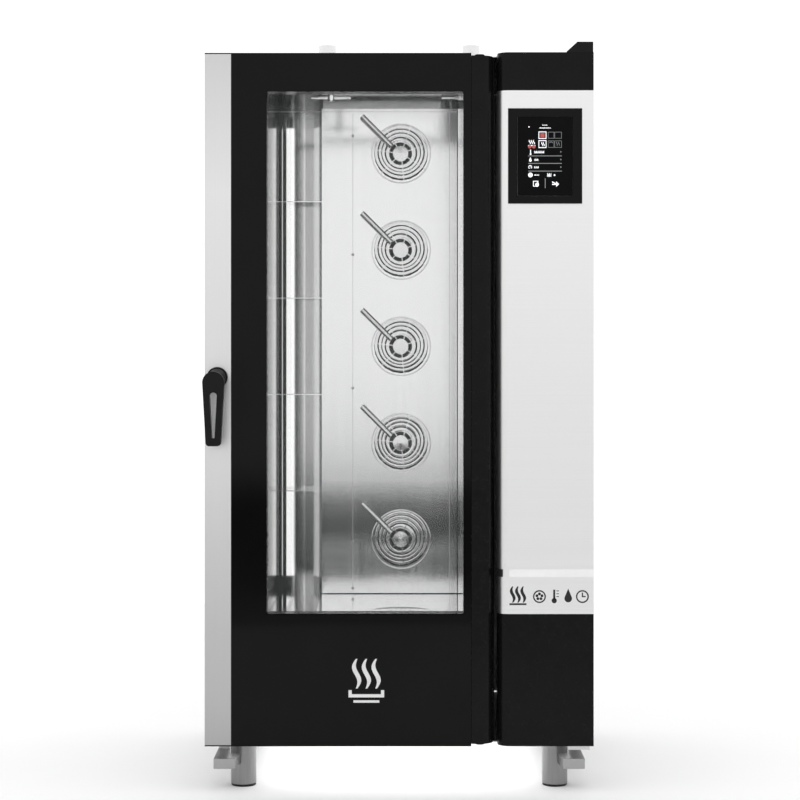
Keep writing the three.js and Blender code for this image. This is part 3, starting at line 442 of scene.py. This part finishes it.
def holed_plate(bm, outline, hole, front, back):
    """A plate with one hole: both loops are bridged on the front and back faces."""
    loops = []
    for points, y in ((outline, front), (hole, front), (hole, back), (outline, back)):
        verts = [bm.verts.new((x, y, z)) for x, z in points]
        edges = [bm.edges.new((verts[i], verts[(i + 1) % len(verts)])) for i in range(len(verts))]
        loops.append((verts, edges))
    for first, second in ((0, 1), (2, 3)):
        bmesh.ops.triangle_fill(bm, use_beauty=True, use_dissolve=False,
                                edges=loops[first][1] + loops[second][1])
    for first, second in ((0, 3), (1, 2)):
        skirt(bm, loops[first][0], loops[second][0])


def arc(x, z, radius, start, end, steps):
    """Points of an arc in the XZ plane, its angles in degrees."""
    angles = [math.radians(start + (end - start) * i / steps) for i in range(steps + 1)]
    return [(x + radius * math.cos(a), z + radius * math.sin(a)) for a in angles]


def piece(name, bm, material, body, replaced=(), bevel=0.0, smooth=SHARP_ANGLE):
    """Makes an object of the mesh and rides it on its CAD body."""
    bmesh.ops.recalc_face_normals(bm, faces=bm.faces)
    mesh = bpy.data.meshes.new(name)
    bm.to_mesh(mesh)
    bm.free()
    for face in mesh.polygons:
        face.use_smooth = True
    mesh.set_sharp_from_angle(angle=math.radians(smooth))
    made = bpy.data.objects.new(name, mesh)
    bpy.context.scene.collection.objects.link(made)
    mesh.materials.append(material)
    if bevel:
        round_edges(made, bevel)
    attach(made, body)
    if replaced:
        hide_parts(*replaced)
    return made


def round_edges(obj, width):
    modifier = obj.modifiers.new("bevel", "BEVEL")
    modifier.width = width
    modifier.segments = 2
    modifier.limit_method = "ANGLE"
    modifier.angle_limit = math.radians(SHARP_ANGLE)
    modifier.use_clamp_overlap = True
    normals = obj.modifiers.new("normals", "WEIGHTED_NORMAL")
    normals.keep_sharp = False


def dress(names, material, bevel=0.0):
    """Gives carried-over CAD nodes their material, welded faces and softened edges."""
    for name in names:
        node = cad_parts[name]
        node.data.materials.clear()
        node.data.materials.append(material)
        for face in node.data.polygons:
            face.use_smooth = True
        weld = node.modifiers.new("weld", "WELD")
        weld.merge_threshold = WELD_DISTANCE
        flatten = node.modifiers.new("flatten", "DECIMATE")
        flatten.decimate_type = "DISSOLVE"
        flatten.angle_limit = math.radians(FLAT_ANGLE)
        if bevel:
            round_edges(node, bevel)
        else:
            split = node.modifiers.new("split", "EDGE_SPLIT")
            split.split_angle = math.radians(SHARP_ANGLE)


# ---------------------------------------------------------------- fan wall

# Outer and inner circle of each band (offset in X, offset in Z, radius) and its crown, in millimetres.
GUARD_BANDS = [
    ((0, 0, 83), (0, 0, 79.4), 0.2),
    ((0, 4.2, 74.0), (0, 3.4, 65.0), 0.2),
    ((0, 3.6, 62.6), (0, 2.8, 54.6), 0.2),
    ((0, 2.4, 53.2), (-0.4, 1.2, 44.6), 0.2),
    ((-0.6, 0.8, 41.6), (-1.6, -0.6, 31.0), 0.2),
]
BAND_STEPS = 96
BAND_EDGE = 0.5 * MM
BAND_FRONT = 0.6 * MM  # all depths of the guard are measured back from its front plane
SPOKES = 7
FIRST_SPOKE = 19
SPOKE_RADII = (20 * MM, 81 * MM)
SPOKE_HALF = 1.2 * MM
SPOKE_DEPTHS = (0.2 * MM, 1.6 * MM)
HUB_OFFSET = (-1.2 * MM, -0.6 * MM)
HUB_PROFILE = mm((0.1, 0), (22, 0), (22, 2.6), (21, 3.2), (0.1, 3.6))

TUBE_RADIUS = 8 * MM
TUBE_GROOVE = 6.4 * MM
TUBE_GROOVE_PLACES = (20 * MM, 11 * MM)  # from the closed tip
TUBE_MOUTH = mm((0.1, 14), (6.2, 14), (6.2, 0.4), (6.6, 0), (7.5, 0), (8, 0.5))
TUBE_ROOT = 18 * MM

WHEEL_DEPTH = 52 * MM
WHEEL_HUB = mm((28, 1.6), (23, 24), (12, 27), (0.5, 27))
WHEEL_SHEET = 1.6 * MM
WHEEL_RIM = 20 * MM
VANES = 18
VANE_THICKNESS = 1.4 * MM
VANE_BEND = [(58 * MM, 0.0), (78 * MM, 0.10)]  # radius and turn in radians, before the tip
VANE_TIP_TURN = 0.16
SHAFT_RADIUS = 8 * MM

ARM_AXIS = 9 * MM  # the arm's own height above the node's lowest point
ARM_HUB = 6 * MM
ARM_REACH = 52 * MM
JET_PLACE = 44 * MM
JET_LENGTH = 8.6 * MM
ARM_NUTS = (14 * MM, 24 * MM)

PROBE_SHOULDER = 53 * MM  # from the probe's left end to the wall it is screwed into
# Each fitting on the probe: where it starts and ends from the shoulder, its radius, how many
# sides it has, and its chamfer, in millimetres.
PROBE_FITTINGS = [(-9, -0.3, 6.5, 6, 0.8), (-14, -9, 4.6, 24, 0.6), (2.3, 14, 8, 6, 1)]

SEAM_PLACES = (-0.129, 0.139)
SEAM_HALF = 0.5 * MM
SEAM_PROUD = 0.05 * MM
STUD_HEIGHTS = (0.435, 0.565, 0.99, 1.36, 1.69)


def ring_band(bm, centre, outer, inner, front, back, crown):
    """A flat band between two circles, each (offset_x, offset_z, radius), raised in its middle."""
    loops = []
    share_and_depth = [(0, back), (0, front + BAND_EDGE), (0.08, front), (0.5, front - crown),
                       (0.92, front), (1, front + BAND_EDGE), (1, back)]
    for i in range(BAND_STEPS):
        angle = 2 * math.pi * i / BAND_STEPS
        c, s = math.cos(angle), math.sin(angle)
        far = Vector((outer[0] + outer[2] * c, outer[1] + outer[2] * s))
        near = Vector((inner[0] + inner[2] * c, inner[1] + inner[2] * s))
        row = []
        for share, depth in share_and_depth:
            spot = far.lerp(near, share)
            row.append(bm.verts.new((centre.x + spot.x, depth, centre.z + spot.y)))
        loops.append(row)
    for i in range(BAND_STEPS):
        skirt(bm, loops[i], loops[(i + 1) % BAND_STEPS])


def fan_guard(number, material):
    """Polished bands with narrow slots between them, wider below, seven spokes and a hub plate."""
    low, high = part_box(f"fan_guard_{number}")
    centre = (low + high) / 2
    front, back = low.y, high.y
    bm = bmesh.new()
    for outer, inner, crown in GUARD_BANDS:
        ring_band(bm, centre, [v * MM for v in outer], [v * MM for v in inner],
                  front + BAND_FRONT, back, crown * MM)
    inner, outer = SPOKE_RADII
    for i in range(SPOKES):
        angle = math.radians(FIRST_SPOKE + 360 / SPOKES * i)
        ray = Vector((math.cos(angle), 0, math.sin(angle)))
        across = Vector((-ray.z, 0, ray.x)) * SPOKE_HALF
        corners = [ray * inner - across, ray * outer - across, ray * outer + across, ray * inner + across]
        outline = [(centre.x + v.x, centre.z + v.z) for v in corners]
        plate(bm, outline, front + SPOKE_DEPTHS[0], front + SPOKE_DEPTHS[1])
    hub_x, hub_z = centre.x + HUB_OFFSET[0], centre.z + HUB_OFFSET[1]
    revolve(bm, HUB_PROFILE, 64, facing_front(hub_x, back, hub_z))
    piece(f"slotted_guard_{number}", bm, material, "cabinet",
          [f"fan_guard_{number}"], smooth=25)


def spray_tube(number, material):
    """The injection tube: an open end with a bore, two grooves and a closed tip."""
    low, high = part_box(f"injection_tube_{number}")
    y = low.y + TUBE_RADIUS
    lean = TUBE_RADIUS * math.sqrt(0.5)
    outer_end = Vector((low.x + lean, y, high.z - lean))
    inner_end = Vector((high.x - lean, y, low.z + lean))
    along = (inner_end - outer_end).normalized()
    length = (inner_end - outer_end).length
    bm = bmesh.new()
    profile = list(TUBE_MOUTH)
    for place in TUBE_GROOVE_PLACES:
        start = length - place
        profile += [(TUBE_RADIUS, start), (TUBE_GROOVE, start + 0.4 * MM),
                    (TUBE_GROOVE, start + 3.4 * MM), (TUBE_RADIUS, start + 3.8 * MM)]
    profile += [(TUBE_RADIUS, length - 1.2 * MM), (TUBE_RADIUS - 1.2 * MM, length), (0.1 * MM, length)]
    turn = along.to_track_quat("Z", "Y").to_matrix().to_4x4()
    revolve(bm, profile, 40, Matrix.Translation(outer_end) @ turn)
    root = outer_end + along * TUBE_ROOT
    cylinder(bm, (root.x, y, root.z), (root.x, high.y, root.z), TUBE_RADIUS * 0.9)
    piece(f"steam_tube_{number}", bm, material, "cabinet",
          [f"injection_tube_{number}"], smooth=40)


def impeller_wheel(number, material):
    """A back plate with a pressed hub, a front ring, curved vanes between them and the shaft."""
    low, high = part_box(f"fan_impeller_{number}")
    x, _, z = middle(low, high)
    radius = (high.x - low.x) / 2
    front, back = low.y, low.y + WHEEL_DEPTH
    bm = bmesh.new()
    place = facing_front(x, back, z)
    revolve(bm, [(AXLE, 0), (radius, 0), (radius, WHEEL_SHEET)] + WHEEL_HUB, 64, place)
    rim, ring_back = radius - WHEEL_RIM, WHEEL_DEPTH - 2 * MM
    ring_front = ring_back + WHEEL_SHEET
    revolve(bm, [(rim, ring_back), (radius, ring_back), (radius, ring_front), (rim, ring_front)], 64, place)
    for i in range(VANES):
        angle = 2 * math.pi * i / VANES
        steps = [(r, angle + turn) for r, turn in VANE_BEND]
        steps.append((radius - 2 * MM, angle + VANE_TIP_TURN))
        points = [(x + r * math.cos(a), z + r * math.sin(a)) for r, a in steps]
        offset = Vector((-math.sin(angle), math.cos(angle))) * VANE_THICKNESS
        outline = points + [(px + offset.x, pz + offset.y) for px, pz in reversed(points)]
        plate(bm, outline, front + 1 * MM, back - 1 * MM)
    cylinder(bm, (x, back, z), (x, high.y, z), SHAFT_RADIUS)
    piece(f"impeller_wheel_{number}", bm, material, f"fan_{number}",
          [f"fan_impeller_{number}"], smooth=40)


def wash_arm(material):
    """A rotating arm with a hub, conical ends, two jets under it and two nuts on its stem."""
    low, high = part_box("wash_arm")
    x, y, _ = middle(low, high)
    z = low.z + ARM_AXIS
    bm = bmesh.new()
    for side in SIDES.values():
        cylinder(bm, (x + side * ARM_HUB, y, z), (x + side * ARM_REACH, y, z), 5 * MM,
                 end_radius=3.6 * MM, chamfer=0.8 * MM)
        jet = x + side * JET_PLACE
        cylinder(bm, (jet, y, z), (jet, y, z - JET_LENGTH), 3.4 * MM, 20, end_radius=2.6 * MM,
                 chamfer=0.5 * MM)
    turn = Matrix.Translation((x, y, z))
    hub = mm((0.1, -9), (7.5, -9), (9.6, -6), (9.8, 6), (8, 9), (6, 10))
    revolve(bm, hub + [(ARM_HUB, high.z - z), (0.1 * MM, high.z - z)], 40, turn)
    for nut in ARM_NUTS:
        profile = [(r, nut + h) for r, h in mm((5, 0), (8.4, 1), (8.4, 5), (5, 6))]
        revolve(bm, profile, 6, turn)
    piece("wash_arm_rotor", bm, material, "spray_arm", ["wash_arm"], smooth=30)


def core_probe(material):
    """A thin probe with a collar and a nut inside the cavity and a nut behind the wall."""
    low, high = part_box("temperature_probe")
    _, y, z = middle(low, high)
    shoulder = low.x + PROBE_SHOULDER
    bm = bmesh.new()
    cylinder(bm, (low.x, y, z), (high.x, y, z), 3 * MM, chamfer=1.2 * MM)
    for start, end, radius, sides, chamfer in PROBE_FITTINGS:
        cylinder(bm, (shoulder + start * MM, y, z), (shoulder + end * MM, y, z), radius * MM, sides,
                 chamfer=chamfer * MM)
    piece("cavity_probe", bm, material, "cabinet", ["temperature_probe"], smooth=30)


def baffle_trim(material):
    """The fan wall's folded seams and the studs that hold its loose panel."""
    low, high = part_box("air_baffle")
    back = low.y - SEAM_PROUD
    front = low.y - SEAM_HALF
    bm = bmesh.new()
    for x in SEAM_PLACES:
        box(bm, (x - SEAM_HALF, front, low.z + 6 * MM), (x + SEAM_HALF, back, high.z - 14 * MM))
    box(bm, (low.x + 2 * MM, front, high.z - 9 * MM), (high.x - 2 * MM, back, high.z - 8 * MM))
    x = SEAM_PLACES[0]
    for z in STUD_HEIGHTS:
        cylinder(bm, (x, back, z), (x, low.y - 2.4 * MM, z), 4 * MM, chamfer=0.8 * MM)
    piece("baffle_seams", bm, material, "cabinet", smooth=30)


# ---------------------------------------------------------------- base, feet and chimneys

RAIL_INNER, RAIL_TIP = 0.371, 0.408
RAIL_TAPER = 0.22
RAIL_BACK = 0.4
RAIL_HEIGHTS = (0.057, 0.083)
# A leg tube with its weld flare, and the rubber pad under its foot.
LEG_PROFILE = mm((13, 5.3), (31, 5.3), (32, 6.3), (32, 98), (33.5, 101), (36, 112.6), (13, 112.6))
PAD_TOP = 4.8 * MM
THREAD = {"length": 80, "pitch": 2.5, "start": 5.2, "crest": 11.9 * MM, "root": 10.7 * MM}
PIPE_OUTER, PIPE_INNER = 23 * MM, 21.2 * MM
PIPE_COLLAR = 14 * MM


def rail_assembly(side, material, leg_material):
    """The slanted floor rail and its two leg tubes."""
    node = f"{side}_base_rail"
    low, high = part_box(node)
    sign = SIDES[side]
    outer = low.x if side == "left" else high.x
    inner, tip = sign * RAIL_INNER, sign * RAIL_TIP
    plan = [(outer, low.y), (tip, low.y), (inner, low.y + RAIL_TAPER), (inner, RAIL_BACK),
            (outer, RAIL_BACK)]
    bm = bmesh.new()
    slab(bm, plan, *RAIL_HEIGHTS)
    piece(f"{side}_floor_rail", bm, material, "cabinet", [node], bevel=1.2 * MM)
    legs = bmesh.new()
    for row in ("front", "rear"):
        x, y, _ = middle(*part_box(f"{row}_{side}_foot"))
        revolve(legs, LEG_PROFILE, 72, Matrix.Translation((x, y, 0)))
    piece(f"{side}_leg_tubes", legs, leg_material, "cabinet", smooth=30)


def screw_foot(row, side, rubber, steel):
    """A rubber pad and the threaded stem above it."""
    node = f"{row}_{side}_foot"
    low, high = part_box(node)
    x, y, _ = middle(low, high)
    radius = (high.y - low.y) / 2
    body = f"{row}_{side}_screw_foot"
    turn = Matrix.Translation((x, y, 0))
    pad = bmesh.new()
    revolve(pad, [(AXLE, 0), (radius - 1.5 * MM, 0), (radius, 1.5 * MM), (radius, PAD_TOP - 1 * MM),
                  (radius - 1 * MM, PAD_TOP), (AXLE, PAD_TOP)], 72, turn)
    piece(f"{row}_{side}_foot_pad", pad, rubber, body, [node])
    stem = bmesh.new()
    profile = [(AXLE, PAD_TOP)]
    for i in range(int(THREAD["length"] / THREAD["pitch"])):
        start = THREAD["start"] + i * THREAD["pitch"]
        profile += [(THREAD["crest"], start * MM), (THREAD["root"], (start + THREAD["pitch"] / 2) * MM)]
    profile.append((AXLE, high.z))
    revolve(stem, profile, 24, turn)
    piece(f"{row}_{side}_foot_stem", stem, steel, body, smooth=20)


def chimney_pipe(side, material):
    """A thin pipe with a collar that lies on the top panel."""
    node = f"{side}_chimney"
    low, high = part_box(node)
    x, y, _ = middle(low, high)
    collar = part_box("top_panel")[1].z + 0.4 * MM
    outer, brim = PIPE_OUTER, PIPE_OUTER + PIPE_COLLAR
    profile = [(PIPE_INNER, low.z), (outer, low.z), (outer, collar), (brim, collar),
               (brim, collar + 1.5 * MM), (outer + 3 * MM, collar + 1.9 * MM),
               (outer, collar + 4.5 * MM), (outer, high.z - 6 * MM), (outer, high.z - 0.6 * MM),
               (outer - 0.8 * MM, high.z), (PIPE_INNER, high.z)]
    bm = bmesh.new()
    revolve(bm, profile, 72, Matrix.Translation((x, y, 0)))
    piece(f"{side}_chimney_pipe", bm, material, "cabinet", [node])


# ---------------------------------------------------------------- handle

# Places on the door's front are (x, z).
LEVER_HEAD = Vector((-0.452, 1.016))
LEVER_PIVOT = Vector((-0.4485, 1.027))
HEAD_RADIUS = 26.5 * MM
GRIP_DEPTH = 25 * MM
GRIP_HALF = 18.4 * MM
GRIP_CORNER = 9 * MM
SLOT_TOP = (0.983, 9 * MM)  # height and radius of the slot's round ends
SLOT_BOTTOM = (0.8832, 3.65 * MM)
CRANK_LENGTH, CRANK_HALF = 14 * MM, 5 * MM
CRANK_DEPTHS = (-0.358, -0.350)


def lever_handle(material):
    """The slotted grip, and the boss that joins it to the spindle and the crank in the door."""
    low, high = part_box("door_handle")
    front, grip_back = low.y, low.y + GRIP_DEPTH
    head, pivot = LEVER_HEAD, LEVER_PIVOT
    reach = GRIP_HALF - GRIP_CORNER
    outline = arc(head.x, head.y, HEAD_RADIUS, 0, 180, 32)
    outline += arc(head.x - reach, low.z + GRIP_CORNER, GRIP_CORNER, 180, 270, 8)
    outline += arc(head.x + reach, low.z + GRIP_CORNER, GRIP_CORNER, 270, 360, 8)
    slot = arc(head.x, *SLOT_TOP, 180, 0, 20) + arc(head.x, *SLOT_BOTTOM, 0, -180, 12)
    bm = bmesh.new()
    holed_plate(bm, outline, slot, front, grip_back)
    grip = piece("handle_grip", bm, material, "handle", ["door_handle"], bevel=2.6 * MM)
    grip.modifiers["bevel"].segments = 4
    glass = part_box("door_outer_glass")[0].y
    boss = bmesh.new()
    cylinder(boss, (pivot.x, glass - 0.4 * MM, pivot.y), (pivot.x, glass - 11 * MM, pivot.y), 26 * MM, 72,
             chamfer=2.0 * MM)
    cylinder(boss, (pivot.x, glass - 9 * MM, pivot.y), (head.x, grip_back - 2 * MM, head.y), 22.6 * MM, 64,
             end_radius=20 * MM)
    cylinder(boss, (pivot.x, glass + 0.1 * MM, pivot.y), (pivot.x, high.y, pivot.y), SHAFT_RADIUS)
    box(boss, (pivot.x - CRANK_LENGTH, CRANK_DEPTHS[0], pivot.y - CRANK_HALF),
        (pivot.x, CRANK_DEPTHS[1], pivot.y + CRANK_HALF))
    piece("handle_boss", boss, material, "handle", smooth=40)


# ---------------------------------------------------------------- display, badge and emblem

PRINT_FRONT, PRINT_BACK = 0.15 * MM, 0.02 * MM  # how far a shape stands off the face behind it
DISC_STEPS = 20
WAVE_STEPS = 24
WAVE_TAPER = 0.35
MARK_GAP = 0.9


class Canvas:
    """Draws thin raised shapes on a front face; places are millimetres right and up of an origin."""

    def __init__(self, x, z, front):
        self.x, self.z = x, z
        self.front, self.back = front - PRINT_FRONT, front - PRINT_BACK
        self.bm = bmesh.new()

    def shape(self, outline):
        plate(self.bm, [(self.x + u * MM, self.z + v * MM) for u, v in outline], self.front, self.back)

    def bar(self, u0, u1, v0, v1):
        self.shape([(u0, v0), (u1, v0), (u1, v1), (u0, v1)])

    def disc(self, u, v, radius):
        self.shape([(u + radius * math.cos(a), v + radius * math.sin(a))
                    for a in (math.radians(360 * i / DISC_STEPS) for i in range(DISC_STEPS))])

    def ring(self, u, v, outer, inner, start=0, end=360, steps=24):
        for i in range(steps):
            a, b = (math.radians(start + (end - start) * k / steps) for k in (i, i + 1))
            self.shape([(u + r * math.cos(t), v + r * math.sin(t))
                        for r, t in ((inner, a), (outer, a), (outer, b), (inner, b))])

    def frame(self, u0, u1, v0, v1, width):
        self.bar(u0, u1, v0, v0 + width)
        self.bar(u0, u1, v1 - width, v1)
        self.bar(u0, u0 + width, v0 + width, v1 - width)
        self.bar(u1 - width, u1, v0 + width, v1 - width)

    def wave(self, u, v0, v1, width, swing):
        """An upright S-shaped stroke, thinner at both ends."""
        left, right = [], []
        for i in range(WAVE_STEPS + 1):
            share = i / WAVE_STEPS
            half = width / 2 * (WAVE_TAPER + (1 - WAVE_TAPER) * math.sin(math.pi * share))
            middle_u = u + swing * math.sin(2 * math.pi * share)
            left.append((middle_u - half, v0 + (v1 - v0) * share))
            right.append((middle_u + half, v0 + (v1 - v0) * share))
        for i in range(WAVE_STEPS):
            self.shape([left[i], right[i], right[i + 1], left[i + 1]])

    def drop(self, u, v, size):
        self.shape([(u + x * size, v + z * size) for x, z in
                    [(0, 1.2)] + [(0.5 * math.cos(a), 0.5 * math.sin(a) - 0.1)
                                  for a in (math.radians(30 - 24 * i) for i in range(11))]])

    def marks(self, u0, u1, v, height, seed):
        """A row of small upright strokes of uneven width and height, instead of lettering."""
        u = u0
        step = 0
        while u < u1:
            width = 1.0 + 0.7 * ((seed * 7 + step * 5) % 4) / 3
            top = v + height / 2 * (0.5 + 0.5 * ((seed + step) % 2))
            self.bar(u, min(u + width, u1), v - height / 2, top)
            u += width + MARK_GAP
            step += 1

    def finish(self, name, material, body, slot):
        piece(name, self.bm, material, body)


def control_display(white, dim, red):
    """The touch panel's picture, from its top middle: tiles, value rows and two keys below."""
    low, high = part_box("display_screen")
    middle_x = (low.x + high.x) / 2
    bright, faint, warm = (Canvas(middle_x, high.z, low.y) for _ in range(3))
    # Header.
    bright.marks(-7, 6, -20.5, 2.2, 1)
    bright.marks(-14, 14, -27.5, 3.0, 2)
    bright.disc(-40, -25, 1.6)
    # Mode tiles in two rows, the first one lit, and a steam symbol at the left.
    for v0, v1 in ((-54.5, -36.5), (-77, -58)):
        bright.frame(-16.5, 3, v0, v1, 1.7)
        faint.frame(7, 22, v0 + 1, v1 - 1, 0.8)
        faint.frame(23, 40.5, v0 + 1, v1 - 1, 0.8)
    warm.bar(-12, -1.5, -51, -40)
    for u in (-7.5, -3.5):
        bright.wave(u, -73, -62, 2.2, 1.5)
    for u in (-38, -33, -28):
        bright.wave(u, -68, -57, 2.4, 1.8)
    for u in (-38, -28):
        warm.disc(u, -74, 4.2)
    bright.bar(-42, -24, -72, -70)
    faint.ring(14.5, -66, 4.6, 3.4, 20, 160, 10)
    for u in (29, 34):
        faint.wave(u, -72, -61, 1.4, 1)
    # Value rows: temperature, humidity, time and fan, each with a line under it and an arrow.
    for v in (-96.5, -115, -134):
        faint.bar(-42, 41, v - 0.8, v + 0.8)
    bright.bar(-37, -35, -92, -81)
    bright.disc(-36, -92, 2.2)
    bright.marks(-27, -2, -87, 6, 3)
    bright.drop(-36.5, -107, 6.5)
    bright.marks(-27, -16, -106, 5.5, 4)
    bright.ring(-37, -124, 4.6, 3.2, -60, 250, 20)
    bright.bar(-37.7, -36.4, -125, -120.5)
    bright.marks(-27, -16, -124.5, 5, 5)
    for v in (-86.5, -105.5, -124):
        faint.shape([(37.5, v - 2.4), (40.5, v), (37.5, v + 2.4)])
    bright.disc(-36.5, -143.5, 5.8)
    bright.marks(-27, -15, -143.5, 3.2, 6)
    bright.marks(5, 15, -143.5, 9, 7)
    bright.disc(23, -144, 2.2)
    # The two keys.
    faint.bar(-0.8, 0.8, -176, -152)
    bright.frame(-30, -17, -172, -158, 1.8)
    bright.disc(-20, -167, 4.4)
    for offset in (0, 6):
        bright.shape([(17, -159 - offset), (30, -165.5), (30, -167.5), (17, -162 - offset)])
    bright.shape([(27, -159), (34, -166), (27, -173)])
    bright.finish("screen_symbols", white, "cabinet", "display_glass")
    faint.finish("screen_lines", dim, "cabinet", "display_glass")
    warm.finish("screen_warm_tiles", red, "cabinet", "display_glass")


STRIPE_START = 30  # millimetres from the fascia's left edge
STRIPE = (91, 110)  # millimetres above its lower edge
FASCIA_CORNER = 33
BLOCK_LIFT = (0.05, 0.3)
BLOCK_ANGLES = [math.radians(188 + 5 * i) for i in range(11)]


def column_badge(stripe_print, black_print):
    """A printed stripe across the fascia's foot and a row of plain function symbols under it."""
    low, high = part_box("control_fascia")
    stripe = Canvas(low.x, low.z, low.y)
    stripe.bar(STRIPE_START, (high.x - low.x) / MM - 0.6, *STRIPE)
    stripe.finish("badge_stripe", stripe_print, "cabinet", "brushed_steel")

    edge = Vector((low.x + STRIPE_START * MM, low.y + FASCIA_CORNER * MM))
    rows = [[(edge.x + (STRIPE_START + lift) * MM * math.cos(a),
              edge.y + (FASCIA_CORNER + lift) * MM * math.sin(a)) for a in BLOCK_ANGLES]
            for lift in BLOCK_LIFT]
    block = bmesh.new()
    slab(block, rows[0] + list(reversed(rows[1])), low.z + STRIPE[0] * MM, low.z + STRIPE[1] * MM)
    piece("badge_block", block, black_print, "cabinet")

    symbols = Canvas(low.x, low.z, low.y)
    # Steam over a line.
    for u in (38, 51, 64):
        symbols.wave(u, 28, 68, 8.5, 3.6)
    symbols.bar(30, 72, 22, 26.5)
    # A fan.
    symbols.ring(104, 43, 16, 12.5)
    for i in range(5):
        turn = math.radians(90 + 72 * i)
        symbols.disc(104 + 6.5 * math.cos(turn), 43 + 6.5 * math.sin(turn), 3.6)
    # A thermometer with three ticks.
    symbols.bar(138, 143, 36, 60)
    symbols.disc(140.5, 33, 6.5)
    for k in range(3):
        symbols.bar(146, 152, 42 + 7 * k, 44 + 7 * k)
    # A drop and a clock.
    symbols.drop(175, 40, 19)
    symbols.ring(210, 43, 16, 12.5)
    symbols.bar(208.5, 211.5, 42, 53)
    symbols.bar(209, 218, 41.5, 44.5)
    symbols.finish("function_symbols", black_print, "cabinet", "black_plastic")


EMBLEM_X = -0.081


def door_emblem(silver):
    """A plain emblem: three strands of steam over a tray."""
    low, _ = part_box("door_outer_glass")
    glass = Canvas(EMBLEM_X, low.z, low.y)
    for u in (-24, 0, 24):
        glass.wave(u, 140, 213, 12, 6.5)
    glass.bar(-44, 44, 118, 126)
    glass.bar(-44, -36, 126, 136)
    glass.bar(36, 44, 126, 136)
    glass.bar(-32, 32, 105, 111)
    glass.finish("door_emblem", silver, "door", "polished_steel")


# ---------------------------------------------------------------- assembly

STEEL_FRONT = brushed("brushed_fascia", 0.79, 0.012, (2.5, 40, 900), (0.3, 0.36))
# The strip carries painted shade along its height, darker at its foot and slightly at its top.
STEEL_STRIP = brushed("brushed_strip", 0.78, 0.01, (900, 900, 2.5), (0.3, 0.36), STRIP_SHADE)
STEEL_SHEET = brushed("satin_sheet", 0.6, 0.012, (3, 3, 500), (0.34, 0.42))
LEG_STEEL = brushed("brushed_leg", 0.27, 0.02, (400, 400, 6), (0.28, 0.36))
RAIL_STEEL = brushed("satin_rail", 0.36, 0.012, (3, 500, 3), (0.34, 0.42))
STEEL_POLISHED = brushed("polished_steel", 0.82, 0.01, (60, 60, 60), (0.08, 0.14))
STEEL_FAN = brushed("fan_steel", 0.09, 0.02, (200, 20, 200), (0.4, 0.5))
HEATER = brushed("heater_sheath", 0.2, 0.05, (60, 60, 60), (0.4, 0.55))
EMBLEM = brushed("emblem_silver", 0.72, 0.04, (8, 8, 60), (0.3, 0.4))
ENAMEL = moulded("black_enamel", (0.0042, 0.0042, 0.0044), (0.0055, 0.0055, 0.0057), 0.24,
                 500, 0.00001, 0.1)
PLASTIC = moulded("black_plastic", (0.005, 0.005, 0.0053), (0.0075, 0.0075, 0.0078), 0.4, gloss=0.13)
BEZEL = moulded("bezel_plastic", (0.0038, 0.0038, 0.004), (0.005, 0.005, 0.0052), 0.4, gloss=0.1)
SCREEN = moulded("screen_glass", (0.003, 0.003, 0.0032), (0.004, 0.004, 0.0042), 0.12,
                 900, 0.000001, 0.04)
RUBBER = moulded("foot_rubber", (0.012, 0.012, 0.012), (0.02, 0.02, 0.02), 0.7)
SILICONE = moulded("gasket_silicone", (0.09, 0.088, 0.092), (0.12, 0.118, 0.122), 0.55)
MOTOR = moulded("motor_paint", (0.06, 0.065, 0.07), (0.09, 0.095, 0.1), 0.5)
BOARD = moulded("circuit_board", (0.01, 0.09, 0.04), (0.02, 0.14, 0.07), 0.45)
PRINT_PALE = moulded("pale_print", (0.8, 0.8, 0.8), (0.84, 0.84, 0.84), 0.5)
PRINT_BLACK = moulded("black_print", (0.008, 0.008, 0.008), (0.012, 0.012, 0.012), 0.5)
SYMBOL_WHITE = glowing("symbol_white", (0.75, 0.76, 0.78), 0.85)
SYMBOL_DIM = glowing("symbol_dim", (0.16, 0.165, 0.17), 0.8)
SYMBOL_RED = glowing("symbol_red", (0.28, 0.05, 0.045), 0.8)

dress(["door_outer_glass"], printed_glass(), 0.6 * MM)
dress(["door_inner_glass"], clear_glass(), 0.6 * MM)
dress(["control_fascia"], STEEL_FRONT)
dress(["door_edge_strip"], STEEL_STRIP, 0.3 * MM)
dress(["base_frame", "left_side_panel", "right_side_panel", "rear_panel", "top_panel", "water_manifold",
       "drain_pipe", "exhaust_flap", "door_drip_tray", "lock_strike", "lock_rod"], STEEL_SHEET)
dress(["cavity_liner"], liner_steel())
dress(["air_baffle"], baffle_steel())
dress(["floor_drain_cover"], STEEL_POLISHED)
dress(["door_frame", "door_hinge_post", "column_front", "upper_hinge", "lower_hinge"], ENAMEL)
dress(["display_bezel"], BEZEL, 0.5 * MM)
dress(["vent_cowl"], PLASTIC)
dress(["display_screen"], SCREEN)
dress(["door_gasket"], SILICONE)
dress(["heating_element_bank"], HEATER)
dress(["control_board"], BOARD)
dress([f"fan_motor_{i}" for i in FANS], MOTOR)

wash_arm(STEEL_POLISHED)
core_probe(STEEL_POLISHED)
baffle_trim(STEEL_SHEET)
for number in FANS:
    fan_guard(number, STEEL_POLISHED)
    spray_tube(number, STEEL_POLISHED)
    impeller_wheel(number, STEEL_FAN)
for side in SIDES:
    rail_assembly(side, RAIL_STEEL, LEG_STEEL)
    chimney_pipe(side, STEEL_FRONT)
    for row in ("front", "rear"):
        screw_foot(row, side, RUBBER, LEG_STEEL)
lever_handle(PLASTIC)
control_display(SYMBOL_WHITE, SYMBOL_DIM, SYMBOL_RED)
column_badge(PRINT_PALE, PRINT_BLACK)
door_emblem(EMBLEM)

make_camera()
make_world()
make_floor()
for name, settings in LAMPS.items():
    area_light(name, *settings)
bpy.context.scene.view_settings.view_transform = "Standard"
